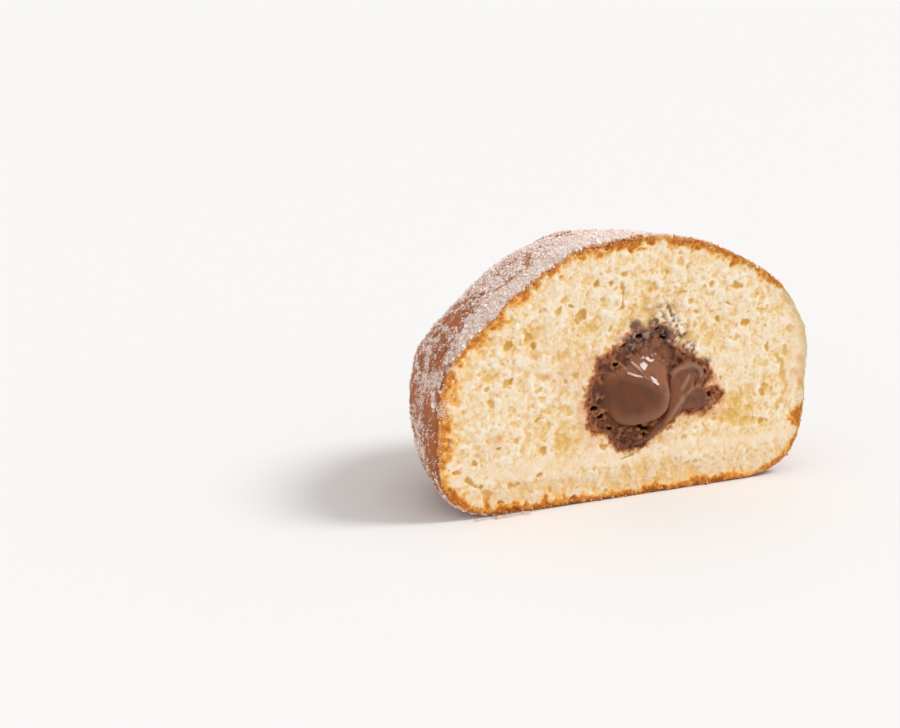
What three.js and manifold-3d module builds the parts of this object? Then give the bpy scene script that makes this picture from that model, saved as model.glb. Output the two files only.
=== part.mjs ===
// Half of a filled beignet: a round, deep-fried bun cut upright through its middle, resting on its flat base.
// Millimetres. +X runs right along the cut face, +Y goes from the cut into the bun, +Z is up.
// Two pieces: the dough, with its belt crease and air holes, and the chocolate cream in its pocket.

import * as THREE from "three";
import { mergeVertices } from "three/addons/utils/BufferGeometryUtils.js";
import Module from "manifold-3d";

const wasm = await Module();
wasm.setup();

// Driving sizes of the bun. x is 0 at the middle of the cut.
const axisX = -4.1; // the bun's upright axis, at its base
const leftReach = 45.7; // from the upright axis to the left end of the cut
const rightReach = 49.4; // and to its right end
const backReach = 47; // from the cut to the back
const beltHeight = 28.2; // the widest section's height over the base
const domeRise = 32; // from there to the top
const baseSink = 0.7; // how much of the round underside the flat base takes away
const lean = 0.1; // sideways shift for each millimetre of height

// How square each outline is: 2 is an ellipse, more is squarer, less is more pointed.
const planSquareness = 2.3;
const domeSquareness = { cut: 1.76, back: 2.3 };
const baseSquareness = { left: 4.7, right: 7.4, back: 3.1 };

// The pale belt, where the dough rose last: a shallow hollow with a crease along its middle.
const belt = { rise: 1.5, sway: 2.2, hollow: 1.0, halfWidth: 5.5, lump: 0.7 };
const crease = { depth: 0.9, halfWidth: 1.7 };
const beltFade = { leftEnd: 0.25, rightEnd: 0.1 }; // share of this relief left where the cut crosses it
const swell = 0.45; // gentle unevenness of the whole crust

// Broad places where the hand-shaped dough is fuller (rise above 0) or flatter. The direction is across, back, up.
const unevenness = [
  { direction: [-0.655, 0.68, 0.33], rise: -2.8, spread: 0.31 },
  { direction: [-0.67, 0.45, -0.59], rise: -2.3, spread: 0.42 },
  { direction: [-0.846, 0.532, -0.03], rise: 1.85, spread: 0.235 },
  { direction: [-1, 0, 0], rise: 0.8, spread: 0.2 },
  { direction: [0.28, 0.4, 0.872], rise: -1.5, spread: 0.32 },
  { direction: [-0.19, 0.61, 0.769], rise: 0.9, spread: 0.13 },
  { direction: [0.891, 0, 0.453], rise: 0.65, spread: 0.23 },
  { direction: [0.961, 0, -0.276], rise: 0.85, spread: 0.17 },
  { direction: [0.839, 0, -0.544], rise: -1.05, spread: 0.19 },
  { direction: [-0.908, 0, 0.418], rise: -1.2, spread: 0.1 },
  { direction: [-0.472, 0, 0.882], rise: 0.85, spread: 0.12 },
];

// The cut face.
const crustProud = 0.5; // the firm crust stands out from the softer crumb
const crustBand = 1.8;
const crumbWave = 0.25;

// Air holes in the crumb, laid out on a spiral round the filling.
const airHoles = { count: 22, nearest: 20, spacing: 1, smallest: 0.7, largest: 1.9, flatness: 0.7 };
const airHoleCentre = { x: 2, z: 30 };
const goldenAngle = Math.PI * (3 - Math.sqrt(5));

// The chocolate cream: a lobed blob, widest in the plane of the cut.
const fillingCentre = { x: 6, z: 25 };
const fillingRadius = 10.5;
const fillingDepth = 19;
const fillingLobes = [
  { towards: 175, adds: 6.9, spread: 42 },
  { towards: 95, adds: 4.6, spread: 45 },
  { towards: -12, adds: 8.4, spread: 30 },
  { towards: -116, adds: 4.8, spread: 22 },
];
const fillingBulges = [
  { x: 1, z: 25.5, halfWidth: 9.5, halfHeight: 12, proud: 2.0 },
  { x: 15.5, z: 23.5, halfWidth: 7.5, halfHeight: 8, proud: 1.5 },
];
const gap = 0.3; // between the cream and its pocket

// Fineness of the meshes.
const azimuthSteps = 40;
const latitudeSteps = 48;
const faceRings = 6;
const lobeSteps = 44;
const bulgeRings = 7;
const depthRings = 9;

const radians = (degrees) => (degrees * Math.PI) / 180;
const mix = (a, b, share) => a + (b - a) * share;
const bell = (distance, halfWidth) => Math.exp(-((distance / halfWidth) ** 2));
const superRadius = (out, reach, up, height, squareness) =>
  ((out / reach) ** squareness + (up / height) ** squareness) ** (-1 / squareness);

// Latitudes from the south pole (-90 degrees) to the north pole, closest together at the belt.
function latitude(step) {
  const share = (2 * step) / latitudeSteps - 1;
  return (Math.PI / 2) * (0.5 * share + 0.5 * share ** 3);
}

// How far the crust lies outside (or, negative, inside) the plain round form.
function crustRelief(azimuth, lat, height) {
  const beltLine = beltHeight + belt.rise + belt.sway * Math.sin(2 * azimuth + 0.6);
  const faded = Math.cos(azimuth) > 0 ? beltFade.rightEnd : beltFade.leftEnd;
  const depth = mix(faded, 1, Math.sin(azimuth) ** 2);
  const inBelt = bell(height - beltLine, belt.halfWidth);
  const inCrease = bell(height - beltLine, crease.halfWidth) * (0.6 + 0.4 * Math.sin(5 * azimuth));
  const lumps = belt.lump * Math.sin(9 * azimuth + 1) * Math.sin(4 * azimuth);
  const waves = swell * Math.cos(lat) * Math.sin(3 * azimuth + 2 * lat) * Math.cos(5 * lat - azimuth);
  const towards = [Math.cos(lat) * Math.cos(azimuth), Math.cos(lat) * Math.sin(azimuth), Math.sin(lat)];
  let shaped = 0;
  for (const { direction, rise, spread } of unevenness)
    shaped += rise * bell(Math.hypot(...direction.map((part, k) => towards[k] - part)), spread);
  return shaped + waves - depth * (inBelt * (belt.hollow - lumps) + inCrease * crease.depth);
}

// A point of the outer crust. Each upright section is a superellipse, squarer or rounder from cut to back.
function crustPoint(azimuth, lat) {
  const across = Math.cos(azimuth);
  const back = Math.sin(azimuth);
  const out = Math.cos(lat);
  const up = Math.sin(lat);
  const sideReach = across > 0 ? rightReach : leftReach;
  const reach = superRadius(Math.abs(across), sideReach, back, backReach, planSquareness);
  const turned = back ** 2;
  const squareness =
    up > 0
      ? mix(domeSquareness.cut, domeSquareness.back, turned)
      : mix(across > 0 ? baseSquareness.right : baseSquareness.left, baseSquareness.back, turned);
  const height = up > 0 ? domeRise : beltHeight + baseSink;
  const smooth = superRadius(out, reach, Math.abs(up), height, squareness);
  const radius = smooth + crustRelief(azimuth, lat, beltHeight + smooth * up);
  const z = Math.max(0, beltHeight + radius * up);
  return [axisX + radius * out * across + lean * z, Math.max(0, radius * out * back), z];
}

// The cut face lies a little behind the crust's edge and is gently wavy.
function facePoint(edge, centre, share) {
  const x = mix(centre[0], edge[0], share);
  const z = mix(centre[2], edge[2], share);
  const inward = (1 - share) * Math.hypot(edge[0] - centre[0], edge[2] - centre[2]);
  const sunk = crustProud * Math.min(1, inward / crustBand);
  const wave = crumbWave * Math.sin(x / 7) * Math.cos(z / 6) * Math.min(1, inward / (2 * crustBand));
  return [x, sunk + wave, z];
}

// One closed body: the crust from pole to pole, and rings across the cut face.
function bunGeometry() {
  const points = [crustPoint(0, -Math.PI / 2), crustPoint(0, Math.PI / 2)];
  const triangles = [];
  const at = (column, row) => {
    if (row === 0) return 0;
    if (row === latitudeSteps) return 1;
    return 2 + column * (latitudeSteps - 1) + row - 1;
  };
  for (let column = 0; column <= azimuthSteps; column++)
    for (let row = 1; row < latitudeSteps; row++)
      points.push(crustPoint((Math.PI * column) / azimuthSteps, latitude(row)));
  const addTriangle = (a, b, c) => {
    if (a !== b && b !== c && c !== a) triangles.push(a, b, c);
  };
  for (let column = 0; column < azimuthSteps; column++)
    for (let row = 0; row < latitudeSteps; row++) {
      const upper = at(column + 1, row + 1);
      addTriangle(at(column, row), at(column + 1, row), upper);
      addTriangle(at(column, row), upper, at(column, row + 1));
    }
  let outer = [];
  for (let row = 0; row < latitudeSteps; row++) outer.push(at(0, row));
  for (let row = latitudeSteps; row > 0; row--) outer.push(at(azimuthSteps, row));
  const edge = outer.map((index) => points[index]);
  const centre = [fillingCentre.x, 0, beltHeight];
  const shares = [0.965];
  for (let ring = 1; ring < faceRings; ring++) shares.push(0.93 * (1 - ring / faceRings) + 0.02);
  for (const share of shares) {
    const inner = edge.map((point) => points.push(facePoint(point, centre, share)) - 1);
    outer.forEach((start, k) => {
      const next = (k + 1) % outer.length;
      triangles.push(start, outer[next], inner[next], start, inner[next], inner[k]);
    });
    outer = inner;
  }
  const middle = points.push(facePoint(centre, centre, 0)) - 1;
  outer.forEach((start, k) => triangles.push(start, outer[(k + 1) % outer.length], middle));
  return geometryFrom(points, triangles);
}

function geometryFrom(points, triangles) {
  const geometry = new THREE.BufferGeometry();
  geometry.setAttribute("position", new THREE.Float32BufferAttribute(points.flat(), 3));
  geometry.setIndex(triangles);
  return geometry;
}

// The cream's outline in the cut: a circle with a lobe in each named direction.
function lobeRadius(angle) {
  let radius = fillingRadius;
  for (const lobe of fillingLobes) {
    const turn = angle - radians(lobe.towards);
    const apart = Math.atan2(Math.sin(turn), Math.cos(turn));
    radius += lobe.adds * bell(apart, radians(lobe.spread));
  }
  return radius;
}

// Its front swells out of the cut in rounded bulges, with a valley where they meet.
function bulgeAt(x, z) {
  let proud = -0.3;
  for (const bulge of fillingBulges) {
    const reach = Math.hypot((x - bulge.x) / bulge.halfWidth, (z - bulge.z) / bulge.halfHeight);
    proud = Math.max(proud, bulge.proud * Math.sqrt(Math.max(0, 1 - reach ** 2)));
  }
  return -proud;
}

// A lobed blob with its outline grown by `grown`; `front` gives the front's y at a point of the cut plane.
function blobGeometry(grown, front) {
  const points = [];
  const triangles = [];
  const ring = (share, depth) => {
    const indices = [];
    for (let k = 0; k < lobeSteps; k++) {
      const angle = (2 * Math.PI * k) / lobeSteps;
      const radius = (lobeRadius(angle) + grown) * share;
      const x = fillingCentre.x + radius * Math.cos(angle);
      const z = fillingCentre.z + radius * Math.sin(angle);
      indices.push(points.push([x, depth ?? front(x, z), z]) - 1);
    }
    return indices;
  };
  const rings = [];
  for (let k = 1; k <= bulgeRings; k++) rings.push(ring(k / bulgeRings));
  for (let k = 1; k < depthRings; k++) {
    const turn = (Math.PI / 2) * (k / depthRings);
    rings.push(ring(Math.cos(turn) ** 0.8, (fillingDepth + grown) * Math.sin(turn)));
  }
  const { x, z } = fillingCentre;
  const frontPole = points.push([x, front(x, z), z]) - 1;
  const backPole = points.push([x, fillingDepth + grown, z]) - 1;
  const last = rings.length - 1;
  for (let k = 0; k < lobeSteps; k++) {
    const next = (k + 1) % lobeSteps;
    triangles.push(frontPole, rings[0][k], rings[0][next]);
    for (let r = 0; r < last; r++) {
      triangles.push(rings[r][k], rings[r + 1][k], rings[r + 1][next]);
      triangles.push(rings[r][k], rings[r + 1][next], rings[r][next]);
    }
    triangles.push(rings[last][k], backPole, rings[last][next]);
  }
  return geometryFrom(points, triangles);
}

// Air holes are flattened balls, half sunk in the cut face, on a sunflower spiral round the filling.
function airHoleGeometries() {
  const holes = [];
  for (let k = 0; k < airHoles.count; k++) {
    const radius = airHoles.nearest + airHoles.spacing * k;
    const x = airHoleCentre.x + radius * Math.cos(goldenAngle * k);
    const z = airHoleCentre.z + airHoles.flatness * radius * Math.sin(goldenAngle * k);
    const fromTop = ((x - airHoleCentre.x) / leftReach) ** 2 + ((z - beltHeight) / domeRise) ** 2;
    if (z < 0.25 * beltHeight || fromTop > 0.75) continue;
    const size = mix(airHoles.smallest, airHoles.largest, (1 + Math.sin(5 * k)) / 2);
    const hole = new THREE.IcosahedronGeometry(size, 1);
    hole.scale(1, 1, airHoles.flatness);
    hole.rotateY(k);
    holes.push(hole.translate(x, crustProud, z));
  }
  return holes;
}

// Booleans: a closed geometry becomes a solid, and the result becomes a geometry again.
function solid(geometry) {
  const bare = geometry.clone();
  bare.deleteAttribute("normal");
  bare.deleteAttribute("uv");
  const merged = mergeVertices(bare, 1e-4);
  return new wasm.Manifold(
    new wasm.Mesh({
      numProp: 3,
      vertProperties: merged.attributes.position.array,
      triVerts: new Uint32Array(merged.index.array),
    }),
  );
}

function geometryOf(made) {
  const { vertProperties, triVerts } = made.getMesh();
  const geometry = new THREE.BufferGeometry();
  geometry.setAttribute("position", new THREE.BufferAttribute(vertProperties, 3));
  geometry.setIndex(new THREE.BufferAttribute(triVerts, 1));
  geometry.computeVertexNormals();
  return geometry;
}

function dough() {
  let made = solid(bunGeometry()).subtract(solid(blobGeometry(gap, () => -4)));
  for (const hole of airHoleGeometries()) made = made.subtract(solid(hole));
  const mesh = new THREE.Mesh(
    geometryOf(made),
    new THREE.MeshStandardMaterial({ color: 0xd9a266, roughness: 0.85, metalness: 0 }),
  );
  mesh.name = "dough";
  return mesh;
}

function filling() {
  const mesh = new THREE.Mesh(
    blobGeometry(0, bulgeAt),
    new THREE.MeshStandardMaterial({ color: 0x6b4230, roughness: 0.3, metalness: 0 }),
  );
  mesh.name = "filling";
  return mesh;
}

const beignet = new THREE.Group();
beignet.add(dough(), filling());

// The origin is the middle of the footprint, on the surface that the bun stands on.
const bounds = new THREE.Box3().setFromObject(beignet);
const middle = bounds.getCenter(new THREE.Vector3());
beignet.position.set(-middle.x, -middle.y, -bounds.min.z);

export default beignet;
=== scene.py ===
import math

import bpy
import numpy as np
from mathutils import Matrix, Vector


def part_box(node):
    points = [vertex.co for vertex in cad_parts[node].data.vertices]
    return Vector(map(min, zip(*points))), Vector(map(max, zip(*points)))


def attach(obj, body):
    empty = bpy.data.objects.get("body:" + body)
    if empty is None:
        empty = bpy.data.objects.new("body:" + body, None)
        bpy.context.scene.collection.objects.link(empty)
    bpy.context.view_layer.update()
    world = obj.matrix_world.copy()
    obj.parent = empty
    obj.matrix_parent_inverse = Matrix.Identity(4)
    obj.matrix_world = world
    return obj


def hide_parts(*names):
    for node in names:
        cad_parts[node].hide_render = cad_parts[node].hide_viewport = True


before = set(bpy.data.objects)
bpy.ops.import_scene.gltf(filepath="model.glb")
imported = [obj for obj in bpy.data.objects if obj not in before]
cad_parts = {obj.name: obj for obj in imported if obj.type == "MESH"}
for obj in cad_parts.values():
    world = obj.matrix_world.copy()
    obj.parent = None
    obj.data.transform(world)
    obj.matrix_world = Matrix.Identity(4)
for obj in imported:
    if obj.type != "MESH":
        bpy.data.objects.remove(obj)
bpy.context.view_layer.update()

# Lengths in this script are millimetres until a mesh is made. X runs along the cut, Y into the bun, Z up.
mm = 0.001
rng = np.random.default_rng(26)


# Noise, outlines and meshes

def linear(hexColour):
    # sRGB hex to the linear values that sockets take
    parts = [int(hexColour[i:i + 2], 16) / 255 for i in (1, 3, 5)]
    return tuple(c / 12.92 if c <= 0.04045 else ((c + 0.055) / 1.055) ** 2.4 for c in parts) + (1.0,)


def fade(low, high, value):
    # smooth step from 0 at low to 1 at high
    share = np.clip((value - low) / (high - low), 0, 1)
    return share * share * (3 - 2 * share)


def bell(distance, halfWidth):
    # 1 in the middle, 1/e at halfWidth
    return np.exp(-((distance / halfWidth) ** 2))


def mix(a, b, share):
    # a where share is 0, b where it is 1
    return a + (b - a) * share


def latticeHash(ix, iy, iz, seed):
    # whole numbers scrambled by multiplying and shifting, brought to 0..1
    h = (ix * 374761393 + iy * 668265263 + iz * 1440662683 + seed * 1274126177) & 0xFFFFFFFF
    h = ((h ^ (h >> 13)) * 1274126177) & 0xFFFFFFFF
    return (h ^ (h >> 16)) / 4294967295.0


# a quarter turn about a slanted axis, so that no noise lattice lies along the part's own axes
latticeTurn = np.array([[0.0, 0.8, 0.6], [-0.8, 0.36, -0.48], [-0.6, -0.48, 0.64]])


def waves(points, size, seed, octaves=1):
    # value noise from -1 to 1: random values on a turned lattice of `size` mm, blended by a quintic fade;
    # each octave is half as large and half as strong, and each seed gives another pattern
    total, weight = 0.0, 0.0
    for octave in range(octaves):
        points = points @ latticeTurn
        scaled = points * (2 ** octave / size)
        corner = np.floor(scaled).astype(np.int64)
        f = scaled - corner
        f = f * f * f * (f * (f * 6 - 15) + 10)
        layer = 0.0
        for k in range(8):
            step = np.array([k & 1, k >> 1 & 1, k >> 2 & 1])
            share = np.prod(np.where(step == 1, f, 1 - f), axis=-1)
            at = corner + step
            layer = layer + share * latticeHash(at[..., 0], at[..., 1], at[..., 2], seed + 17 * octave)
        total = total + (2 * layer - 1) * 0.5 ** octave
        weight += 0.5 ** octave
    return total / weight


def onCut(x, z):
    # points of the cut plane for waves()
    return np.stack([x, np.zeros_like(x), z], -1)


def bubbles(x, z, spacing, radius, spread, share, seed):
    # a cut through round bubbles, one per lattice square: how far behind the cut the deepest wall lies
    depth = np.zeros_like(x)
    column = np.floor(x / spacing).astype(np.int64)
    row = np.floor(z / spacing).astype(np.int64)
    for i in (-1, 0, 1):
        for j in (-1, 0, 1):
            a, b = column + i, row + j
            centreX = (a + latticeHash(a, b, 1, seed)) * spacing
            centreZ = (b + latticeHash(a, b, 2, seed)) * spacing
            size = radius * (1 + spread * (2 * latticeHash(a, b, 3, seed) - 1))
            behind = size * (1.3 * latticeHash(a, b, 4, seed) - 0.65)
            there = latticeHash(a, b, 5, seed) < share
            inside = size ** 2 - (x - centreX) ** 2 - (z - centreZ) ** 2
            wall = behind + np.sqrt(np.maximum(inside, 0))
            depth = np.maximum(depth, np.where((inside > 0) & there, wall, 0))
    return depth


def blurred(grid, cells):
    # mean over a square of cells by running sums, done twice
    for axis in (0, 1, 0, 1):
        edge = [(0, 0), (0, 0)]
        edge[axis] = (cells // 2 + 1, cells - cells // 2 - 1)
        total = np.cumsum(np.pad(grid, edge, mode="edge"), axis)
        later, earlier = np.arange(cells, total.shape[axis]), np.arange(total.shape[axis] - cells)
        grid = (np.take(total, later, axis) - np.take(total, earlier, axis)) / cells
    return grid


def smoothCurve(points, closed=True, perSpan=6):
    # Catmull-Rom: each span is a cubic worked out from the four points around it
    p = np.array(points, float)
    if not closed:
        p = np.concatenate([p[:1], p, p[-1:]])
    t = (np.arange(perSpan) / perSpan)[None, :, None]
    a, b, c, d = (np.roll(p, k, 0)[:, None] for k in (1, 0, -1, -2))
    bend, twist = 2 * a - 5 * b + 4 * c - d, 3 * b - a - 3 * c + d
    spans = 0.5 * (2 * b + (c - a) * t + bend * t ** 2 + twist * t ** 3)
    if not closed:
        spans = spans[1:-2]
    return spans.reshape(-1, p.shape[1])


def distanceTo(x, z, line):
    # distance to the nearest stretch of an open line
    nearest = np.full(x.shape, np.inf)
    for (ax, az), (bx, bz) in zip(line[:-1], line[1:]):
        ex, ez = bx - ax, bz - az
        along = np.clip(((x - ax) * ex + (z - az) * ez) / (ex * ex + ez * ez), 0, 1)
        nearest = np.minimum(nearest, np.hypot(x - ax - along * ex, z - az - along * ez))
    return nearest


def reachOf(x, z, middleX, middleZ, halfWidth, halfHeight, turn=0):
    # distance from the middle of a turned ellipse as a share of its own radius, 1 on its outline
    c, s = math.cos(math.radians(turn)), math.sin(math.radians(turn))
    a, b = x - middleX, z - middleZ
    return np.hypot((a * c + b * s) / halfWidth, (b * c - a * s) / halfHeight)


def gapInside(x, z, curve):
    # distance to a closed outline, positive inside: a point is inside if a ray from it crosses an odd number
    # of sides
    inside = np.zeros(x.shape, bool)
    for (ax, az), (bx, bz) in zip(curve, np.roll(curve, -1, 0)):
        crosses = (az > z) != (bz > z)
        if az != bz:
            inside ^= crosses & (x < ax + (z - az) * (bx - ax) / (bz - az))
    return np.where(inside, 1, -1) * distanceTo(x, z, np.concatenate([curve, curve[:1]]))


def newPiece(name, points, faceSets, values=None, smooth=True):
    # one mesh from points in mm and arrays of faces with 3 or 4 corners, with a number per point for each
    # named value
    mesh = bpy.data.meshes.new(name)
    corners = np.concatenate([faces.ravel() for faces in faceSets])
    sizes = np.concatenate([np.full(len(faces), faces.shape[1]) for faces in faceSets])
    starts = np.concatenate([[0], np.cumsum(sizes)[:-1]])
    mesh.vertices.add(len(points))
    mesh.vertices.foreach_set("co", (points * mm).astype(np.float32).ravel())
    mesh.loops.add(len(corners))
    mesh.loops.foreach_set("vertex_index", corners.astype(np.int32))
    mesh.polygons.add(len(sizes))
    mesh.polygons.foreach_set("loop_start", starts.astype(np.int32))
    mesh.polygons.foreach_set("use_smooth", np.full(len(sizes), smooth))
    mesh.update(calc_edges=True)
    mesh.validate()
    for label, numbers in (values or {}).items():
        attribute = mesh.attributes.new(label, "FLOAT", "POINT")
        attribute.data.foreach_set("value", numbers.astype(np.float32))
    piece = bpy.data.objects.new(name, mesh)
    bpy.context.scene.collection.objects.link(piece)
    print(name, len(points), "points", int((sizes - 2).sum()), "triangles")
    return piece


def loopQuads(rows, columns):
    # quads between neighbouring rows of points, each row a closed loop
    r = np.arange(rows - 1)[:, None] * columns
    c = np.arange(columns)[None, :]
    n = (c + 1) % columns
    return np.stack([r + c, r + columns + c, r + columns + n, r + n], -1).reshape(-1, 4)


def reliefPatch(name, x, y, z, inside, values, backRow, pole):
    # the squares of a grid that lie inside an outline, at depths y, closed behind by rows of points from the
    # border to a pole; backRow gives the row at a turn between 0 and 90 degrees
    backRows = 12
    cell = inside[:-1, :-1] & inside[1:, :-1] & inside[:-1, 1:] & inside[1:, 1:]
    index = np.arange(x.size).reshape(x.shape)
    quads = np.stack([index[:-1, :-1], index[:-1, 1:], index[1:, 1:], index[1:, :-1]], -1)[cell]
    used, quads = np.unique(quads, return_inverse=True)
    quads = quads.reshape(-1, 4)
    front = np.stack([x.ravel()[used], y.ravel()[used], z.ravel()[used]], -1)
    # an edge of the border belongs to one quad only, and keeps that quad's direction
    edges = np.stack([quads, np.roll(quads, -1, axis=1)], -1).reshape(-1, 2)
    low, high = edges.min(1), edges.max(1)
    _, first, count = np.unique(low * len(front) + high, return_index=True, return_counts=True)
    edges = edges[first[count == 1]]
    loop, edges = np.unique(edges, return_inverse=True)
    edges = edges.reshape(-1, 2)
    rows = [backRow(math.pi / 2 * k / (backRows + 0.5), front[loop]) for k in range(1, backRows + 1)]
    points = np.concatenate([front, *rows, pole[None]])
    n, m = len(front), len(loop)
    starts = [loop[edges[:, ::-1]]] + [edges[:, ::-1] + n + m * k for k in range(backRows)]
    sides = [np.concatenate([a, b[:, ::-1]], 1) for a, b in zip(starts[:-1], starts[1:])]
    cap = np.concatenate([starts[-1], np.full((len(edges), 1), n + m * backRows)], 1)
    hidden = np.zeros(len(points) - n)
    kept = {label: np.concatenate([value.ravel()[used], hidden]) for label, value in values.items()}
    return newPiece(name, points + shift, [quads, *sides, cap], kept)


# The bun's plain form, the same as the solid frame's

bun = {
    "axisX": -4.1,  # of the dome and base, from the middle of the cut
    "leftReach": 45.7,
    "rightReach": 49.4,
    "backReach": 47.0,
    "beltHeight": 28.2,
    "domeRise": 32.0,
    "baseSink": 0.7,
    "lean": 0.1,
    "planSquareness": 2.3,
    "domeSquareness": (1.76, 2.3),  # at the cut, at the back
    "baseSquareness": (4.7, 7.4, 3.1),  # at the cut's left and right, at the back
    "beltRise": 1.5,
    "beltSway": 2.2,
    "swayTurn": 0.6,
    "beltHollow": 1.0,
    "beltHalfWidth": 5.5,
    "beltLump": 0.7,
    "creaseDepth": 0.9,
    "creaseHalfWidth": 1.7,
    "beltFade": (0.25, 0.1),  # share of the belt's relief at the cut's left and right
    "swell": 0.45,
    "edgeCurl": 0.5,  # the most that the cut's lower edge curls up off the floor
    "outlinePoints": 1440,
}
# Broad places where the hand-shaped dough is fuller or flatter: direction (across, back, up), rise, spread
unevenness = [
    ((-0.655, 0.68, 0.33), -2.8, 0.31), ((-0.67, 0.45, -0.59), -2.3, 0.42), ((-1, 0, 0), 0.8, 0.2),
    ((-0.846, 0.532, -0.03), 1.85, 0.235), ((0.28, 0.4, 0.872), -1.5, 0.32),
    ((-0.19, 0.61, 0.769), 0.9, 0.13),
    ((0.891, 0, 0.453), 0.65, 0.23), ((0.961, 0, -0.276), 0.85, 0.17), ((0.839, 0, -0.544), -1.05, 0.19),
    ((-0.908, 0, 0.418), -1.2, 0.1), ((-0.472, 0, 0.882), 0.85, 0.12),
]
doughLow = np.array(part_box("dough")[0]) / mm  # the solid frame's left, front and bottom


def superRadius(out, reach, up, height, squareness):
    # distance to a superellipse along a direction with parts `out` and `up`
    return ((out / reach) ** squareness + (up / height) ** squareness) ** (-1 / squareness)


def beltLineAt(azimuth):
    # height of the middle of the pale belt, which sways up and down once between the cut's two ends
    return bun["beltHeight"] + bun["beltRise"] + bun["beltSway"] * np.sin(2 * azimuth + bun["swayTurn"])


def bunRadius(direction):
    # distance from the belt's middle to the crust along unit directions: a superellipse in each upright
    # section, whose reach is a superellipse in plan, plus long waves and the hollow and crease of the belt
    across, back, up = direction[..., 0], direction[..., 1], direction[..., 2]
    out = np.maximum(np.hypot(across, back), 1e-9)
    u, v = across / out, np.clip(back / out, 0, 1)
    azimuth = np.arctan2(v, u)
    side = np.where(u > 0, bun["rightReach"], bun["leftReach"])
    reach = superRadius(np.abs(u), side, v, bun["backReach"], bun["planSquareness"])
    left, right, rear = bun["baseSquareness"]
    domeCut, domeBack = bun["domeSquareness"]
    below = mix(np.where(u > 0, right, left), rear, v ** 2)
    squareness = np.where(up > 0, mix(domeCut, domeBack, v ** 2), below)
    height = np.where(up > 0, bun["domeRise"], bun["beltHeight"] + bun["baseSink"])
    plain = superRadius(out, reach, np.abs(up), height, squareness)
    latitude = np.arcsin(np.clip(up, -1, 1))
    fromLine = bun["beltHeight"] + plain * up - beltLineAt(azimuth)
    leftFade, rightFade = bun["beltFade"]
    depth = mix(np.where(u > 0, rightFade, leftFade), 1, v ** 2)
    lumps = bun["beltLump"] * np.sin(9 * azimuth + 1) * np.sin(4 * azimuth)
    crease = bell(fromLine, bun["creaseHalfWidth"]) * (0.6 + 0.4 * np.sin(5 * azimuth)) * bun["creaseDepth"]
    swell = bun["swell"] * out * np.sin(3 * azimuth + 2 * latitude) * np.cos(5 * latitude - azimuth)
    for towards, rise, spread in unevenness:
        swell = swell + rise * bell(np.linalg.norm(direction - np.array(towards), axis=-1), spread)
    hollow = bell(fromLine, bun["beltHalfWidth"]) * (bun["beltHollow"] - lumps)
    return plain + swell - depth * (hollow + crease)


def bunPoints(direction, extra=0.0):
    # points of the crust in bun coordinates: middle of the cut at x = 0, cut at y = 0, base at z = 0
    radius = bunRadius(direction) + extra
    points = direction * radius[..., None]
    points[..., 2] = np.maximum(bun["beltHeight"] + points[..., 2], 0)
    points[..., 0] += bun["axisX"] + bun["lean"] * points[..., 2]
    return points


def turned(theta, psi):
    # unit directions: theta runs round the cut from its right end upwards, psi tilts from the cut to the back
    return np.stack([np.cos(theta) * np.cos(psi), np.sin(psi), np.sin(theta) * np.cos(psi)], -1)


roundCut = np.linspace(0, 2 * np.pi, bun["outlinePoints"] + 1)[:-1]
outline = bunPoints(turned(roundCut, 0 * roundCut))
shift = np.array([doughLow[0] - outline[:, 0].min(), doughLow[1], doughLow[2]])  # from bun to frame
print("bun form worked out, moved by", np.round(shift, 3), "mm")


def fromMiddle(x, z):
    # sideways and upward distance from the belt's middle on the cut
    return x - bun["axisX"] - bun["lean"] * z, z - bun["beltHeight"]


def azimuthOf(points):
    # where a point lies round the bun, seen from above: 0 at the right end of the cut, pi at its left end
    return np.arctan2(np.maximum(points[..., 1], 0), fromMiddle(points[..., 0], points[..., 2])[0])


def baseLift(x):
    # how far the cut's lower edge curls up off the floor: noise along the edge, faded out towards its ends
    return bun["edgeCurl"] * fade(-0.5, 0.7, waves(onCut(x, 0 * x), 5.0, 5, 3)) * fade(48, 38, np.abs(x))


def rimGap(x, z):
    # distance inwards from the outline of the cut: radial, or straight down to the base's edge
    dx, dz = fromMiddle(x, z)
    radius = np.maximum(np.hypot(dx, dz), 1e-6)
    direction = np.stack([dx / radius, np.zeros_like(dx), dz / radius], -1)
    return np.minimum(bunRadius(direction) - radius, z - baseLift(x))


paleBelt = {
    "up": (5.0, 18.0),  # mm above the belt's line, round most of the bun and at the right end of the cut
    "down": (5.0, 14.0),
    "rightFocus": 25,  # how closely the wide part keeps to the right end
    "leftBrowned": 0.9,  # at the left end the belt is fried nearly as brown as the rest
    "ragged": (2.6, 1.1),  # mm, in patches of 7 mm and of 1.6 mm
}


def bakedAt(points):
    # how brown the crust is: 1 is well fried, 0 is the pale belt, widest at the right end of the cut
    azimuth = azimuthOf(points)
    toRight = np.clip(np.cos(azimuth), 0, 1) ** paleBelt["rightFocus"]
    toLeft = fade(0.6, 0.85, -np.cos(azimuth))
    coarse, fine = paleBelt["ragged"]
    ragged = coarse * waves(points, 7.0, 3, 3) + fine * waves(points, 1.6, 4, 3)
    fromLine = points[..., 2] - beltLineAt(azimuth)
    above = fade(-2.5, 3.0, fromLine - mix(*paleBelt["up"], toRight) + ragged)
    below = fade(-2.0, 3.0, -fromLine - mix(*paleBelt["down"], toRight) + ragged)
    return np.clip(np.maximum(above + below, paleBelt["leftBrowned"] * toLeft), 0, 1)


# Crumb: a relief over the whole cut, closed behind by a form that follows the crust

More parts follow.
